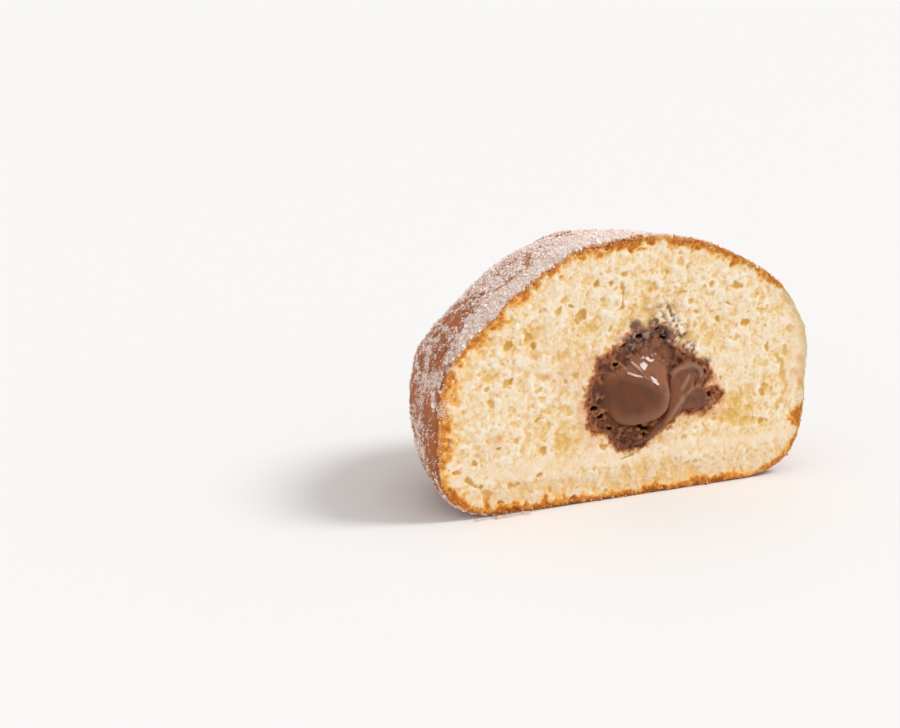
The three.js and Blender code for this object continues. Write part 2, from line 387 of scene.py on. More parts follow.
crumb = {
    "gridStep": 0.241,
    "hollows": (3.0, 0.3),  # size and depth of the soft irregular hollows
    "smallHollows": (1.5, 0.3),
    "smallBubbles": (1.05, 0.4, 0.4, 0.55),  # spacing, radius, spread, share of squares that hold one
    "middleBubbles": (1.9, 0.56, 0.4, 0.3),
    "coarseBubbles": (4.1, 0.95, 0.4, 0.14),
    "tufts": (1.0, 0.19),  # size and height of the torn tufts, and of the finer fluff on them
    "fluff": (0.5, 0.11),
    "bubbleShares": (0.5, 0.55, 0.6),  # how much of a bubble's depth shows, small to coarse
    "holeShare": 0.6,  # the same for the named air holes
    "softened": 0.48,  # share of that relief left after the dough's glow has softened it
    "cavityWidth": 2.8,  # width of the surroundings that a hollow is measured against
    "sunk": 0.25,
    "stainDip": 3.5,  # how far the crumb passes behind the cream
    "edgeTorn": 0.6,  # height of the torn bits on the fried edge
    "skinInset": 2.2,  # the crumb's hidden back lies this far inside the crust
    "bandHeight": 9.8,  # a pressed band low in the crumb, with few pores
    "bandHalfWidth": 2.0,
}
# Larger air holes: x and z of the middle, half width, half height, turn in degrees, depth
airHoles = [
    (-29.5, 43.6, 1.6, 1.3, 10, 1.1), (-26.3, 39.8, 1.5, 1.7, 12, 1.2), (-24.7, 37.8, 0.95, 0.7, -15, 2),
    (-31.3, 30.2, 1.7, 1.1, 0, 1.2), (-30.3, 30.3, 0.75, 0.6, 0, 2), (-13.6, 42.3, 0.85, 0.7, 0, 1.8),
    (-15.4, 46, 0.75, 0.6, 0, 1.5), (-18.4, 45, 1.1, 0.85, 20, 1.2), (-8.9, 50.4, 1.2, 0.9, -20, 1.8),
    (-5.4, 50.3, 0.85, 0.7, 0, 1.6), (-2.3, 51.8, 1.4, 0.8, 0, 1.8), (-2.4, 49.4, 0.45, 1.6, 0, 0.8),
    (-2.4, 44.3, 0.9, 0.8, 0, 1.6), (-0.1, 57, 1.3, 0.9, 0, 1.4), (2.9, 57, 1.6, 0.55, 0, 1.3),
    (14.3, 52.1, 1.1, 1, 0, 1.7), (12.4, 46.3, 2.3, 0.35, -12, 1.3), (10.6, 42.1, 0.7, 0.9, 0, 1.8),
    (17, 41.5, 0.7, 0.5, 0, 1.5), (25.8, 42.7, 1, 0.35, -30, 1.5), (26.3, 51.5, 0.7, 1, -20, 2.3),
    (27.8, 46.3, 1.6, 1.2, -20, 2), (33.1, 43.7, 1.1, 0.8, 0, 1.5), (34.6, 40.3, 1.5, 1.5, 0, 1),
    (30.4, 37.4, 1.1, 0.8, 0, 1.7), (20.8, 47.2, 0.8, 1.4, 0, 1.1), (23.2, 39.3, 0.55, 1, 0, 1.4),
    (36.5, 45, 0.8, 1.2, 20, 1.1), (36.4, 30.9, 0.6, 1.2, 0, 1.2), (41.5, 29.6, 1, 1.3, 0, 1.1),
    (35.8, 20.4, 1.1, 1, 0, 1.4), (41.2, 21, 0.9, 2.6, 8, 0.7), (35.8, 13.4, 0.9, 0.7, 0, 1.3),
    (-22.3, 21, 1.5, 0.6, 12, 1.4), (-29, 16.6, 2.5, 0.75, 16, 1.1), (-33.2, 15.2, 0.6, 0.4, 0, 1.5),
    (-29.7, 6.4, 1.9, 1, 0, 2.4), (-35.6, 5, 1.5, 1.5, -30, 2.8), (-37.4, 7.4, 0.9, 0.7, 40, 2),
    (-32.4, 3.3, 1.2, 0.7, 0, 2.2), (-40.2, 8.6, 1.8, 0.7, -35, 2.2), (-43.2, 11.4, 0.8, 0.6, 0, 1.8),
    (-22.9, 8.2, 1.3, 0.5, 0, 1.4), (-19.1, 5.5, 1.2, 0.5, 0, 1.2), (-25.3, 4.4, 0.9, 0.5, 0, 1.4),
    (-13, 4, 1, 0.35, 0, 1.2), (4.5, 4.2, 1.2, 0.35, 0, 1.2), (17, 4.4, 0.9, 0.3, 0, 1.2),
    (-6.4, 12.5, 1.3, 0.9, 0, 1.5), (0.2, 9.5, 2.3, 0.4, 8, 1.4), (-39, 13, 0.7, 1.1, 25, 1.5),
]
# Long torn valleys in the crumb: points on the cut, half width, depth
tears = [
    ([(39.8, 28), (40.9, 25.6), (41.7, 23), (41.5, 20.4), (40.4, 18), (39.4, 15.6)], 1.1, 0.75),
    ([(43.4, 17.4), (42, 15.6), (40.6, 14.6)], 0.9, 0.5),
    ([(-2.6, 48.8), (-2.4, 46.6), (-2.5, 45)], 0.4, 0.7),
]
# Smudges on the crumb, grey from the drawn knife and tan from the cream's oil, with orange spots along the
# right edge and a broad weak warm patch there that is painted light: x and z of the middle, half
# width, half height, strength
greySmudges = [
    (12, 37, 3.2, 3, 1), (15.5, 33, 2.6, 2, 1), (8, 39.6, 4.4, 2.8, 1.1), (1.4, 39.4, 2.4, 1.8, 1),
    (20, 29, 2, 2, 0.8), (9.5, 42.5, 6, 3.4, 0.5), (-2, 36.5, 2, 1.6, 0.7),
]
tanSmudges = [
    (-15, 30.5, 6, 4.5, 0.5), (-9.5, 33, 3.5, 2.5, 0.7), (-18, 35, 4, 3, 0.4), (21.5, 18.2, 5.5, 2.4, 1),
    (22.5, 23.5, 2.6, 2.6, 0.7), (-7, 14.5, 5, 2.2, 0.6), (-12, 22, 2, 6, 0.8), (8, 12.5, 6, 1.5, 0.5),
    (-33, 16.5, 5, 3, 0.35), (-21.2, 30.4, 1.2, 0.8, 0.9), (-24, 35.2, 1.4, 0.8, 0.8),
    (-18.1, 24.8, 1.5, 1, 0.8), (-33, 17.5, 1.5, 1, 0.9), (-37.8, 14.7, 1.4, 0.8, 0.9),
    # the last ones lie along the right edge: orange spots, and at x 44.5 a broad weak warm patch, painted
    # light where the edge turns from the light
    (-2, 37, 3, 2, 0.7), (14, 15.5, 4, 1.5, 0.6), (46, 27.4, 1.3, 1.6, 1), (45, 24.4, 1.6, 1.2, 0.8),
    (44.5, 34, 2.6, 6, 0.25), (46.4, 21.8, 0.8, 1.2, 0.9),
]
# How far the frying browned the cut's edge: degrees round the cut from its right end, browned mm, golden mm,
# and how dark the edge itself is
rimBrowning = np.array([
    (-180, 0.4, 6.2, 0.15), (-165, 0.5, 5, 0.25), (-152, 1, 2, 0.5), (-140, 1.1, 1.8, 0.6),
    (-128, 1, 1.6, 0.8), (-90, 0.8, 0.8, 0.9), (-45, 0.9, 0.9, 0.8), (-28, 0.9, 1.6, 0.35),
    (-21, 0.3, 1, 0.2), (-18.5, 2.4, 1.8, 0.1), (-15, 1.8, 1.8, 0.1), (-12, 0, 0.3, 0), (19, 0, 0.3, 0),
    (24, 0.8, 1.5, 0.1), (32, 0.9, 2, 0.15), (45, 0.9, 2.3, 0.35), (60, 0.8, 2.4, 0.45),
    (80, 0.9, 2.4, 0.45), (98, 1.2, 2.4, 0.5), (112, 1.4, 3.2, 0.5), (125, 1, 3.2, 0.5),
    (140, 0.8, 3.2, 0.45), (150, 0.7, 4.4, 0.35), (165, 0.4, 6.2, 0.15), (180, 0.4, 6.2, 0.15),
])


def toastAt(x, z, gap, cavity=0.0):
    # 1 at the fried edge of the cut, 0.5 where the browned layer ends, 0 where the golden one does, made
    # ragged by noise; near the edge the hollows are painted browner than the tufts, as painted shade
    dx, dz = fromMiddle(x, z)
    towards = np.degrees(np.arctan2(dz, dx))
    brown, golden, dark = (np.interp(towards, rimBrowning[:, 0], rimBrowning[:, k]) for k in (1, 2, 3))
    flat = onCut(x, z)
    ragged = 0.9 * waves(flat, 3.6, 11, 2) + 1.1 * waves(flat, 1.3, 12, 3)
    depth = gap + ragged * (0.6 * brown + 0.3 * golden + 0.25)
    inBrown = 0.5 + 0.5 * dark * np.clip(1 - depth / np.maximum(brown, 0.3), 0, 1)
    inGolden = 0.5 * (1 - (depth - brown) / golden)
    toast = np.clip(np.where(depth < brown, inBrown, inGolden), 0, 1) * fade(0.4, 1.6, brown + golden)
    hollow = np.clip(cavity - 0.03, -0.15, 0.5) * fade(7.5, 1.0, gap) * fade(0.5, 2.0, brown + 0.4 * golden)
    shaded = toast + 1.3 * hollow
    limited = np.maximum(toast, np.minimum(shaded, 0.6))
    return np.clip(np.where(hollow > 0, limited, shaded), 0, 1)


def crumbRelief(x, z, gap):
    # how far the crumb lies behind its mean surface: soft hollows and torn tufts from noise, cut bubbles of
    # three sizes, long tears, and the listed air holes as sunk ellipses
    flat = onCut(x, z)
    u = x + 0.6 * waves(flat, 2.4, 21, 2) + 0.22 * waves(flat, 0.8, 22)
    v = z + 0.6 * waves(flat, 2.4, 23, 2) + 0.22 * waves(flat, 0.8, 24)
    warped = onCut(u, v)
    band = bell(z - crumb["bandHeight"] - 0.5 * waves(flat, 8, 25), crumb["bandHalfWidth"])
    beltSkin = fade(40, 46, x) * fade(17, 26, z) * fade(50, 42, z)  # dense, smooth dough behind the pale belt
    openness = (1 - 0.8 * band) * (1 - 0.75 * beltSkin) * fade(-0.2, 1.2, gap)
    airy = 0.85 + 0.6 * waves(flat, 9.0, 26, 2) + 0.2 * fade(16, 40, z) + 0.5 * fade(9, 5, z)
    airy = np.clip(airy, 0.4, 1.5)
    size, deep = crumb["hollows"]
    depth = deep * fade(-0.3, 0.65, waves(warped, size, 27, 3))
    size, deep = crumb["smallHollows"]
    depth = airy * (depth + deep * fade(-0.3, 0.7, waves(warped, size, 28, 3)))
    sizes = ("smallBubbles", "middleBubbles", "coarseBubbles")
    for label, share, seed in zip(sizes, crumb["bubbleShares"], (31, 32, 33)):
        depth = np.maximum(depth, share * airy * bubbles(u, v * 1.1, *crumb[label], seed))
    depth = depth * openness
    ragged = 0.75 * waves(flat, 1.4, 41, 3)
    sideways = u + 0.8 * waves(flat, 3.0, 42, 2)
    for points, halfWidth, deep in tears:
        across = distanceTo(sideways, v, smoothCurve(points, closed=False)) / halfWidth + 1.2 * ragged
        depth = np.maximum(depth, deep * fade(1.4, 0.0, across))
    for *hole, deep in airHoles:
        depth = np.maximum(depth, crumb["holeShare"] * deep * fade(1.25, 0.25, reachOf(u, v, *hole) + ragged))
    size, high = crumb["tufts"]
    flakes = high * fade(-0.3, 0.45, waves(warped, size, 51, 3))
    size, high = crumb["fluff"]
    flakes = flakes + high * waves(warped, size, 52)
    flakes = flakes * (1 - 0.6 * band) * (1 - 0.5 * beltSkin)
    swell = 0.15 * waves(flat, 2.6, 53) + 0.35 * waves(flat, 9, 54)
    return depth + (swell - flakes + 0.15) * fade(0, 1.2, gap)


def stainGap(x, z):
    # distance inwards from the ragged outline of the crumb that the chocolate has soaked
    flat = onCut(x, z)
    return gapInside(x, z, stainOutline) + 0.9 * waves(flat, 2.4, 61, 2) + 0.6 * waves(flat, 0.9, 62, 2)


def smudgeAt(x, z, smudges):
    # how strongly the crumb is smudged: soft ellipses, broken up by noise
    total = np.zeros_like(x)
    for *smudge, strength in smudges:
        total = np.maximum(total, strength * bell(reachOf(x, z, *smudge), 1.0))
    return np.clip(total * (1 + 0.9 * waves(onCut(x, z), 1.0, 65, 2)), 0, 1)


def crumbBack(turn, border):
    # a row of the bun's own form, further in, above the floor by as much
    dx, dz = fromMiddle(border[:, 0], border[:, 2])
    row = bunPoints(turned(np.arctan2(dz, dx), np.full(len(border), turn)), -crumb["skinInset"])
    row[:, 2] = np.maximum(row[:, 2], crumb["skinInset"])
    return row


def makeCrumb():
    # a grid over the cut, set back by a soft slope in from the rim, the relief, the torn edge and the dip
    # behind the cream
    step = crumb["gridStep"]
    xs = np.arange(outline[:, 0].min(), outline[:, 0].max() + step, step)
    zs = np.arange(0, outline[:, 2].max() + step, step)
    x, z = np.meshgrid(xs, zs)
    gap = rimGap(x, z)
    relief = crumbRelief(x, z, gap)
    # painted shade and glow: the colour ramp paints what lies lower than its surroundings yellower more than
    # darker, as light scattered in the translucent dough makes it look
    cavity = relief - blurred(np.minimum(relief, 0.4), round(crumb["cavityWidth"] / step))
    stain = stainGap(x, z)
    flat = onCut(x, z)
    toast = toastAt(x, z, gap, cavity)
    torn = crumb["edgeTorn"] * fade(0.1, 0.6, toast) * waves(flat, 1.2, 68, 3) * fade(0, 0.6, gap)
    dip = crumb["stainDip"] * fade(-0.2, 2.4, stain)
    y = crumb["sunk"] * fade(0, 2.5, gap) + crumb["softened"] * relief + torn + dip
    grey = smudgeAt(x, z, greySmudges)
    upright = waves(flat * np.array([1, 1, 0.35]), 2.4, 64, 3)
    streaks = fade(35, 42, x) * fade(6, 14, z) * fade(50, 42, z) * (0.2 + upright)
    values = {
        # painted shade: how far the crumb lies below its surroundings, for the colour ramp
        "cavity": 0.5 + cavity,
        "toast": toast,
        "stain": np.maximum(0.5 + 0.5 * np.where(stain > 0, stain / 1.2, stain / 1.9), 0),
        "grey": grey * fade(-0.4, 0.25, cavity + 0.6 * waves(flat, 0.8, 66, 3)),
        "tan": smudgeAt(x, z, tanSmudges),
        "streaks": np.clip(streaks, 0, 1),
        # painted shade: darker and duller low down, below the pressed band towards the floor
        "under": fade(8.6, 5.0, z + 0.8 * waves(flat, 3.0, 67, 2)),
    }
    pole = bunPoints(np.array([0.0, 1.0, 0.0]), -crumb["skinInset"])
    return reliefPatch("crumb", x, y, z, gap > 0.12, values, crumbBack, pole)


# Crust: the fried skin, from a lip round the cut to the back, with an inner wall

crust = {
    "columns": 640,
    "backRows": 130,
    "lipRows": 5,
    "lipWidth": 0.45,
    "rimRound": 0.35,  # how far the cut's edge is rounded off, over twice that depth
    "thickness": 1.3,
    "floorThickness": 0.9,
    "innerRows": 8,
    "innerStart": 1.6,  # mm behind the cut
    "sugarCoat": 0.3,  # thickness of the sugar where it covers all
}
# Places where sugar spills over the cut's edge or lies on the floor: x, y, z, radius, grains
spilledSugar = [
    (-46.9, 0, 25.2, 0.9, 110), (-46.7, 0, 27.2, 0.6, 50), (-34.8, 0, 46.3, 0.9, 110),
    (-44.9, 0, 18, 0.5, 30), (-33, -1, 0.2, 2.4, 260), (-28, -1, 0.2, 2.8, 260),
    (-38, -0.8, 0.2, 1.6, 120),
]
sugaredEdge = {"turn": (92, 200), "count": 420, "reach": 0.45}  # degrees round the cut, grains, mean reach
# Places where sugar is caked, or sparse where the share added is below 0: x, y, z of the middle, radius,
# share added
sugarCakes = [
    (-26, 2.5, 53.5, 6, 0.35), (-14, 5, 59, 9, 0.7), (-34, 3, 48, 4, 0.4), (0, 8, 60, 9, 0.6),
    (-41, 2, 42, 5, 0.4), (-32, 1, 0.5, 9, 0.9), (-46.3, 2, 26, 2.5, 0.6), (-44, 2, 19.5, 2.2, 0.6),
    (-46, 1.5, 33, 3.5, 0.35), (-40, 2, 7, 5, 0.5), (-40.5, 14, 12, 6, 0.45), (-41.5, 14, 22, 6, 0.5),
    (-40.5, 14, 32, 6, 0.4), (-43.5, 6.5, 37, 5, -0.4), (-46, 6, 25, 5, -0.22), (-45.5, 3, 16, 4, -0.1),
    (21, 2, 55, 2.5, 0.5), (12, 30, 52, 14, 0.2), (-24, 30, 42, 12, 0.2),
]


def crustRelief(points, baked):
    # small unevenness of the fried skin in mm: wrinkles and blisters, and a rough lumpy belt, all from noise
    wrinkles = 0.2 * waves(points, 6.0, 71, 3)
    blisters = 0.12 * fade(0.15, 0.6, waves(points, 1.7, 72, 2))
    rough = (1 - baked) * (0.6 * waves(points, 3.6, 73, 3) + 0.25 * waves(points, 1.2, 74, 2))
    return wrinkles + blisters + rough


def grouping(points):
    # grains gather in small groups: -1 to 1
    return waves(points, 1.1, 95, 2)


def sugarCover(points, baked):
    # share of the crust that sugar hides, over 1 where it is caked: a broad density, thick on the upper left
    # and thin low down and right, broken by noise into patches and lace
    x, y, z = points[..., 0], points[..., 1], points[..., 2]
    patchy = 0.42 * waves(points, 8.0, 91, 2)
    density = 0.26 + 0.45 * fade(20, 55, z) * mix(0.6, 1.0, fade(35, -25, x)) + patchy
    nearCut = fade(30, 42, z) * fade(20, -10, x)  # thick along the cut's upper left, thin behind it
    density = density + nearCut * mix(-0.12, 0.3, fade(9, 1, y))
    creased = bell(z - beltLineAt(azimuthOf(points)), 2.2) * fade(8, 20, y)
    density = density + 0.22 * creased  # grains lodge in the belt's crease
    for *middle, radius, adds in sugarCakes:
        density = density + adds * bell(np.linalg.norm(points - np.array(middle), axis=-1), radius)
    lace = 0.4 * waves(points, 3.4, 92, 2) + 0.3 * waves(points, 1.3, 93, 2)
    return (fade(-0.05, 1.0, density + lace) + 0.4 * fade(0.9, 1.5, density)) * mix(0.75, 1.0, baked)


def overEdge(points):
    # the cut's torn golden bits reach a ragged way over its edge, where they carry no sugar
    return fade(0.55, 0.05, points[..., 1] + 0.9 * waves(points, 1.3, 78, 3))


def makeCrust():
    # a closed skin: the bun's form plus relief and sugar coat outside, the same form further in inside
    columns, backRows = crust["columns"], crust["backRows"]
    theta = np.arange(columns) / columns * 2 * np.pi
    # rows of the outside, from the rim to just before the pole at the back, closer together near the rim
    psi = np.linspace(0, 1, backRows + 1)[:-1] ** 1.12 * np.pi / 2
    direction = turned(theta[None, :], psi[:, None] + 0 * theta[None, :])
    plain = bunPoints(direction)
    baked = bakedAt(plain)
    behind = plain[..., 1]
    grainy = 0.7 + 0.8 * waves(plain, 1.1, 75, 2)
    coat = crust["sugarCoat"] * np.minimum(sugarCover(plain, baked), 1) * grainy
    nearRim = np.maximum(1 - behind / (2 * crust["rimRound"]), 0)
    torn = crust["rimRound"] * nearRim ** 2 * (1 + 1.1 * waves(plain, 1.3, 76, 2))
    relief = crustRelief(plain, baked) * fade(0, 1.5, behind) + coat * fade(-0.6, 0.6, behind) - torn
    outside = bunPoints(direction, relief)
    lift = baseLift(outside[..., 0]) * fade(3.0, 0.0, outside[..., 1])
    outside[..., 2] = np.maximum(outside[..., 2], lift)
    # the lip: in from the rim across the cut face, ending ragged and sunk into the crumb
    rim = outside[0]
    inward = -np.stack([np.cos(theta), 0 * theta, np.sin(theta)], -1)
    width = crust["lipWidth"] * (1 + 0.9 * waves(rim, 1.5, 81, 2))
    lip = []
    for k in range(crust["lipRows"], 0, -1):
        share = k / crust["lipRows"]
        ring = rim + inward * (width * share)[:, None]
        sunk = 0.02 + 0.2 * share + fade(0.7, 1.0, np.array(share))
        ring[:, 1] = sunk + 0.25 * waves(ring, 1.1, 82, 3)
        ring[:, 2] = np.maximum(ring[:, 2], baseLift(ring[:, 0]))
        lip.append(ring)
    # the inner wall runs back from the lip's edge to its own pole
    inner = []
    for k in range(crust["innerRows"]):
        turn = math.pi / 2 * k / crust["innerRows"]
        at = bunPoints(turned(theta, np.full(columns, turn)), -crust["thickness"])
        at[:, 1] += crust["innerStart"]
        at[:, 2] = np.maximum(at[:, 2], crust["floorThickness"])
        inner.append(at)
    inner = inner[::-1]
    outerPole = bunPoints(np.array([[0.0, 1.0, 0.0]]))
    innerPole = outerPole - np.array([[0, crust["thickness"], 0]])
    rings = np.concatenate([np.array(inner), np.array(lip), outside])
    points = np.concatenate([rings.reshape(-1, 3), innerPole, outerPole])
    count = len(rings)
    c = np.arange(columns)
    n = (c + 1) % columns
    last = (count - 1) * columns
    capIn = np.stack([c, n, np.full(columns, count * columns)], -1)
    capOut = np.stack([last + n, last + c, np.full(columns, count * columns + 1)], -1)
    bakedAll = bakedAt(points)
    onLip = np.repeat([0.0] * len(inner) + [1.0] * (len(lip) + 1) + [0.0] * (len(outside) - 1), columns)
    onLip = np.maximum(np.concatenate([onLip, [0, 0]]), overEdge(points))
    values = {
        "baked": bakedAll,
        "cover": sugarCover(points, bakedAll),
        "grouped": 0.5 + 0.5 * grouping(points),
        "lip": onLip,
        "toast": toastAt(points[:, 0], points[:, 2], np.zeros(len(points))),
    }
    return newPiece("crust", points + shift, [loopQuads(count, columns), capIn, capOut], values), outside


# Chocolate cream: glossy folds over crumb that has soaked it up

filling = {
    "gridStep": 0.15,
    "depth": 19.0,  # how far it runs back into the bun
    "startDepth": 4.0,
    "middle": (6.0, 25.0),
    "gridMargin": 1.6,
    "passUnder": 1.2,  # how far the soaked crumb's border passes under the dry crumb
    "borderSink": 3.2,  # and how much further back it lies there
    "crownHeight": 1.7,
    "crownReach": 9.0,
    "strandHeight": 0.3,
    "hollowDepth": 0.4,
    "dropHeight": 0.9,  # share of a drop's radius
    "holeDepth": 1.6,
    "poreSize": (1.5, 0.6, 0.4, 0.6),  # spacing, radius, spread, share
    "cavityWidth": 2.2,
    "noCream": -9.0,  # height that stands for no cream
    "leastCream": -5.0,  # cream further back than this is left out
}
# Outlines on the cut, x and z in mm. The soaked crumb:
stainOutline = smoothCurve([
    (-11.2, 24.4), (-10.2, 21.4), (-9.9, 17.4), (-5.5, 15.3), (-2.2, 11.7), (1.6, 11), (5.8, 12.8),
    (9.8, 15.4), (13, 17.8), (17.5, 18), (20.4, 17.6), (22.6, 19.2), (24.6, 21.2), (22.2, 22.6),
    (20, 23.4), (21.6, 26.4), (19.4, 29.2), (15.4, 31.4), (12, 34), (10.6, 37.6), (7.6, 39.4),
    (5.6, 37.8), (2.4, 38.4), (0, 37.6), (-3, 35.6), (-5.2, 33.4), (-7.8, 32.6), (-8.8, 28.6),
])
# the main fold, the smear that runs down from it, and the pad at the right
mainFold = smoothCurve([
    (-7.4, 29.6), (-7.8, 27.3), (-7.8, 24.8), (-7, 22.2), (-6, 19.9), (-4.6, 18.2), (-2.9, 17.2),
    (0.2, 16.7), (3.6, 16.9), (6.8, 17.6), (9, 18.8), (9.8, 20.5), (10.1, 22.8), (9.9, 25), (10.1, 26.8),
    (10.6, 28.3), (11.4, 29.7), (12, 31.2), (12, 32.5), (11.4, 33.7), (9.9, 34.7), (9.2, 36), (8, 37.6),
    (6.6, 37.2), (5.2, 35.6), (3.4, 34.7), (1.6, 33.8), (0.2, 32.6), (-0.8, 31.4), (-2.4, 30.8),
    (-4.6, 30.4),
])
smear = smoothCurve([
    (17.2, 26.2), (17, 24), (15.9, 22.3), (14.5, 20.2), (13.4, 18.3), (11.7, 17), (9.4, 15.7), (8, 14.6),
    (6.3, 13.3), (4.3, 12.4), (2, 11.7), (0.6, 11.9), (1.6, 12.9), (4, 13.7), (5.6, 14.9), (7, 16.4),
    (8.6, 17.4), (9.6, 19.4), (9.8, 22.6), (9.9, 25.4), (11.2, 28), (14, 28.8), (16.6, 28.2),
])
rightPad = smoothCurve([
    (15.8, 23.4), (18.4, 24.2), (20, 22.8), (20.6, 20.8), (19.6, 18.8), (16.6, 18.5), (13.8, 18.9),
    (14.4, 21),
])
foldRidge = np.array([
    (-9, 29.4), (-7.4, 29.5), (-4.6, 29.7), (-1.2, 28.7), (1.7, 27.8), (4, 26.6), (6.6, 25.3),
    (8.9, 24.2), (12, 23.4),
])
curl = smoothCurve([
    (10.8, 27.6), (12.8, 28.7), (14.8, 28.9), (17.1, 28.4), (18.6, 27.1), (18.8, 25.3), (17.9, 23.6),
], closed=False)
strands = [smoothCurve(line, closed=False) for line in (
    [(0.5, 30.9), (1.6, 29.7), (2.5, 28.6), (3.4, 27.6), (4.3, 26.8)],
    [(-1.4, 29.1), (0.2, 28.4), (1.8, 28), (3.4, 27.5)],
)]
# small flats on the fold that mirror the light: x, z, half length, half width, turn in degrees
glints = [(6.1, 32, 1.5, 1.2, 60), (3.4, 30.2, 1, 0.8, 60), (5.4, 26.9, 1.5, 0.6, -55)]
glintSlope = (-0.14, -0.83)  # of a surface that mirrors the sun into the lens
# light streaks in the cream at the right of the fold, and darker hollows: x, z, radius
lightStreaks = [smoothCurve(line, closed=False) for line in (
    [(13.2, 24), (14.4, 25.6), (15.3, 26.8)],
    [(9.3, 16.1), (10.9, 18.5), (12.8, 20.9), (16.1, 23.5), (18.6, 24)],
    [(10.9, 27.3), (12.1, 28.4), (14.5, 29), (17.1, 28.7), (18.5, 27.5), (18.6, 26.2)],
)]
creamHollows = [(16.4, 26.6, 1.5), (17.6, 22.9, 1.3), (12, 26.6, 0.9), (13.9, 22.2, 0.9)]
# round drops of cream on the soaked crumb: x, z, radius
drops = [
    (8.8, 35.3, 0.45), (5.7, 35.9, 0.35), (-0.8, 35.2, 0.4), (-4, 30.9, 0.4), (-2.4, 30.6, 0.35),
    (9, 18, 0.4), (7.9, 17.4, 0.35), (14.2, 18.6, 0.4), (21.2, 20.2, 0.35), (18.7, 24.1, 0.3),
    (0.6, 12.5, 0.3), (1.9, 13.1, 0.3), (12, 33.2, 0.35), (-5.6, 31.6, 0.3), (2.4, 36.4, 0.35),
    (17.6, 27.6, 0.3), (3.6, 12.9, 0.3),
]
# holes between the crumb and the cream, sunk deep and painted nearly black, as painted shade: x, z, radius
darkHoles = [
    (1.4, 38.9, 0.75), (2.4, 37.2, 0.7), (-1.9, 35.4, 0.7), (-3.6, 31.4, 0.7), (-9, 21.6, 0.9),
    (-7.2, 19.6, 0.7), (-4.9, 16.4, 0.6), (4.5, 15.3, 0.8), (3.4, 16.1, 0.7), (21.6, 21.7, 0.6),
    (19.2, 26.8, 0.7), (15, 31.9, 0.8), (4.3, 13.9, 0.5), (16.2, 26.9, 0.5), (9, 36.1, 0.5),
    (7, 38.4, 0.5), (11.9, 28.9, 0.4),
]


def roundedEdge(gap, radius):
    # a quarter circle from 0 at an outline up to 1 at `radius` inside it
    rise = np.clip(gap / radius, 0, 1)
    return np.sqrt(np.maximum(1 - (1 - rise) ** 2, 0))


def creamHeight(x, z):
    # how far the cream stands out of the cut, and how smooth, glossy and light-edged it is: folds with
    # rounded edges, each a sum of a quarter-circle edge and a crown
    flat = onCut(x, z)
    inMain = gapInside(x + 0.25 * waves(flat, 4.0, 101), z, mainFold)
    above = z - np.interp(x, foldRidge[:, 0], foldRidge[:, 1]) + 0.3 * waves(flat, 3.0, 102)
    # turns smoothly into the slope above the ridge
    bend = 0.5 * np.log1p(np.exp(np.clip(above / 0.5, -20, 20)))
    crown = bell(np.hypot(x - 5.5, 0.85 * (z - 25.5)), filling["crownReach"])
    crown = filling["crownHeight"] * crown - 0.5 * bend
    toRight = fade(-8, 5, x - 0.5 * (z - 25))
    rise = roundedEdge(inMain, mix(5.0, 2.4, toRight))
    main = rise * mix(0.15, 1.0, toRight) + crown + 0.03 * waves(flat, 1.5, 110, 2) - 0.35
    for line in strands:
        main = main + filling["strandHeight"] * bell(distanceTo(x, z, line), 0.3)
    for glint in glints:
        a, b = x - glint[0], z - glint[1]
        level = main.flat[np.argmin(np.hypot(a, b))] + glintSlope[0] * a + glintSlope[1] * b
        main = mix(main, level, fade(1.5, 0.8, reachOf(x, z, *glint)))
    inSmear = gapInside(x, z, smear)
    low = roundedEdge(inSmear, 1.6) * 0.75 - 0.15 + 0.35 * bell(np.hypot(x - 11, z - 20), 6)
    for hollowX, hollowZ, radius in creamHollows:
        low = low - filling["hollowDepth"] * bell(np.hypot(x - hollowX, z - hollowZ), radius)
    inPad = gapInside(x, z, rightPad)
    pad = roundedEdge(inPad, 1.2) * 0.45 - 0.35
    fromCurl = distanceTo(x, z, curl)
    rollWidth = mix(0.6, 1.1, fade(10, 15, x))
    roll = roundedEdge(rollWidth - fromCurl, rollWidth) * 0.25 - 0.12
    fromStreaks = np.min([distanceTo(x, z, line) for line in lightStreaks], axis=0)
    soft = 0.1 * waves(flat, 1.4, 112, 2) + 0.12 * bell(fromStreaks, 0.5)
    low, pad, roll = low + soft, pad + soft, roll + soft
    height = np.full(x.shape, filling["noCream"])
    smooth = np.zeros(x.shape)
    for inside, value, edge in (
        (inPad, pad, 0.35),
        (inSmear, low, 0.35),
        (rollWidth - fromCurl, roll, 0.3),
        (inMain, main, mix(2.4, 0.35, toRight)),
    ):
        height = np.where(inside > 0, np.maximum(height, value), height)
        smooth = np.maximum(smooth, fade(-0.1, edge, inside))
    # the fold's lower right edge is thin and light, and the light fades into the fold
    below = fade(0.5, -1.5, above)
    lip = np.maximum(bell(inMain - 0.2, 0.35), 0.5 * fade(4.5, 0.5, inMain)) * toRight * below * (inMain > 0)
    lip = np.maximum(lip, 0.75 * bell(fromStreaks, 0.55) * (inMain < 0))
    gloss = smooth * np.where(inMain > 0, mix(0.35, 1.0, 1 - below), 0.6)
    return height, smooth, lip, inMain, gloss, above


def creamBack(turn, border):
    # at turn t the row's size is cos t to a power and its depth follows sin t to a power
    middle = np.array([filling["middle"][0], 0.0, filling["middle"][1]])
    row = middle + (border - middle) * math.cos(turn) ** 0.8
    row[:, 1] = mix(filling["startDepth"], filling["depth"], math.sin(turn) ** 0.9)
    return row


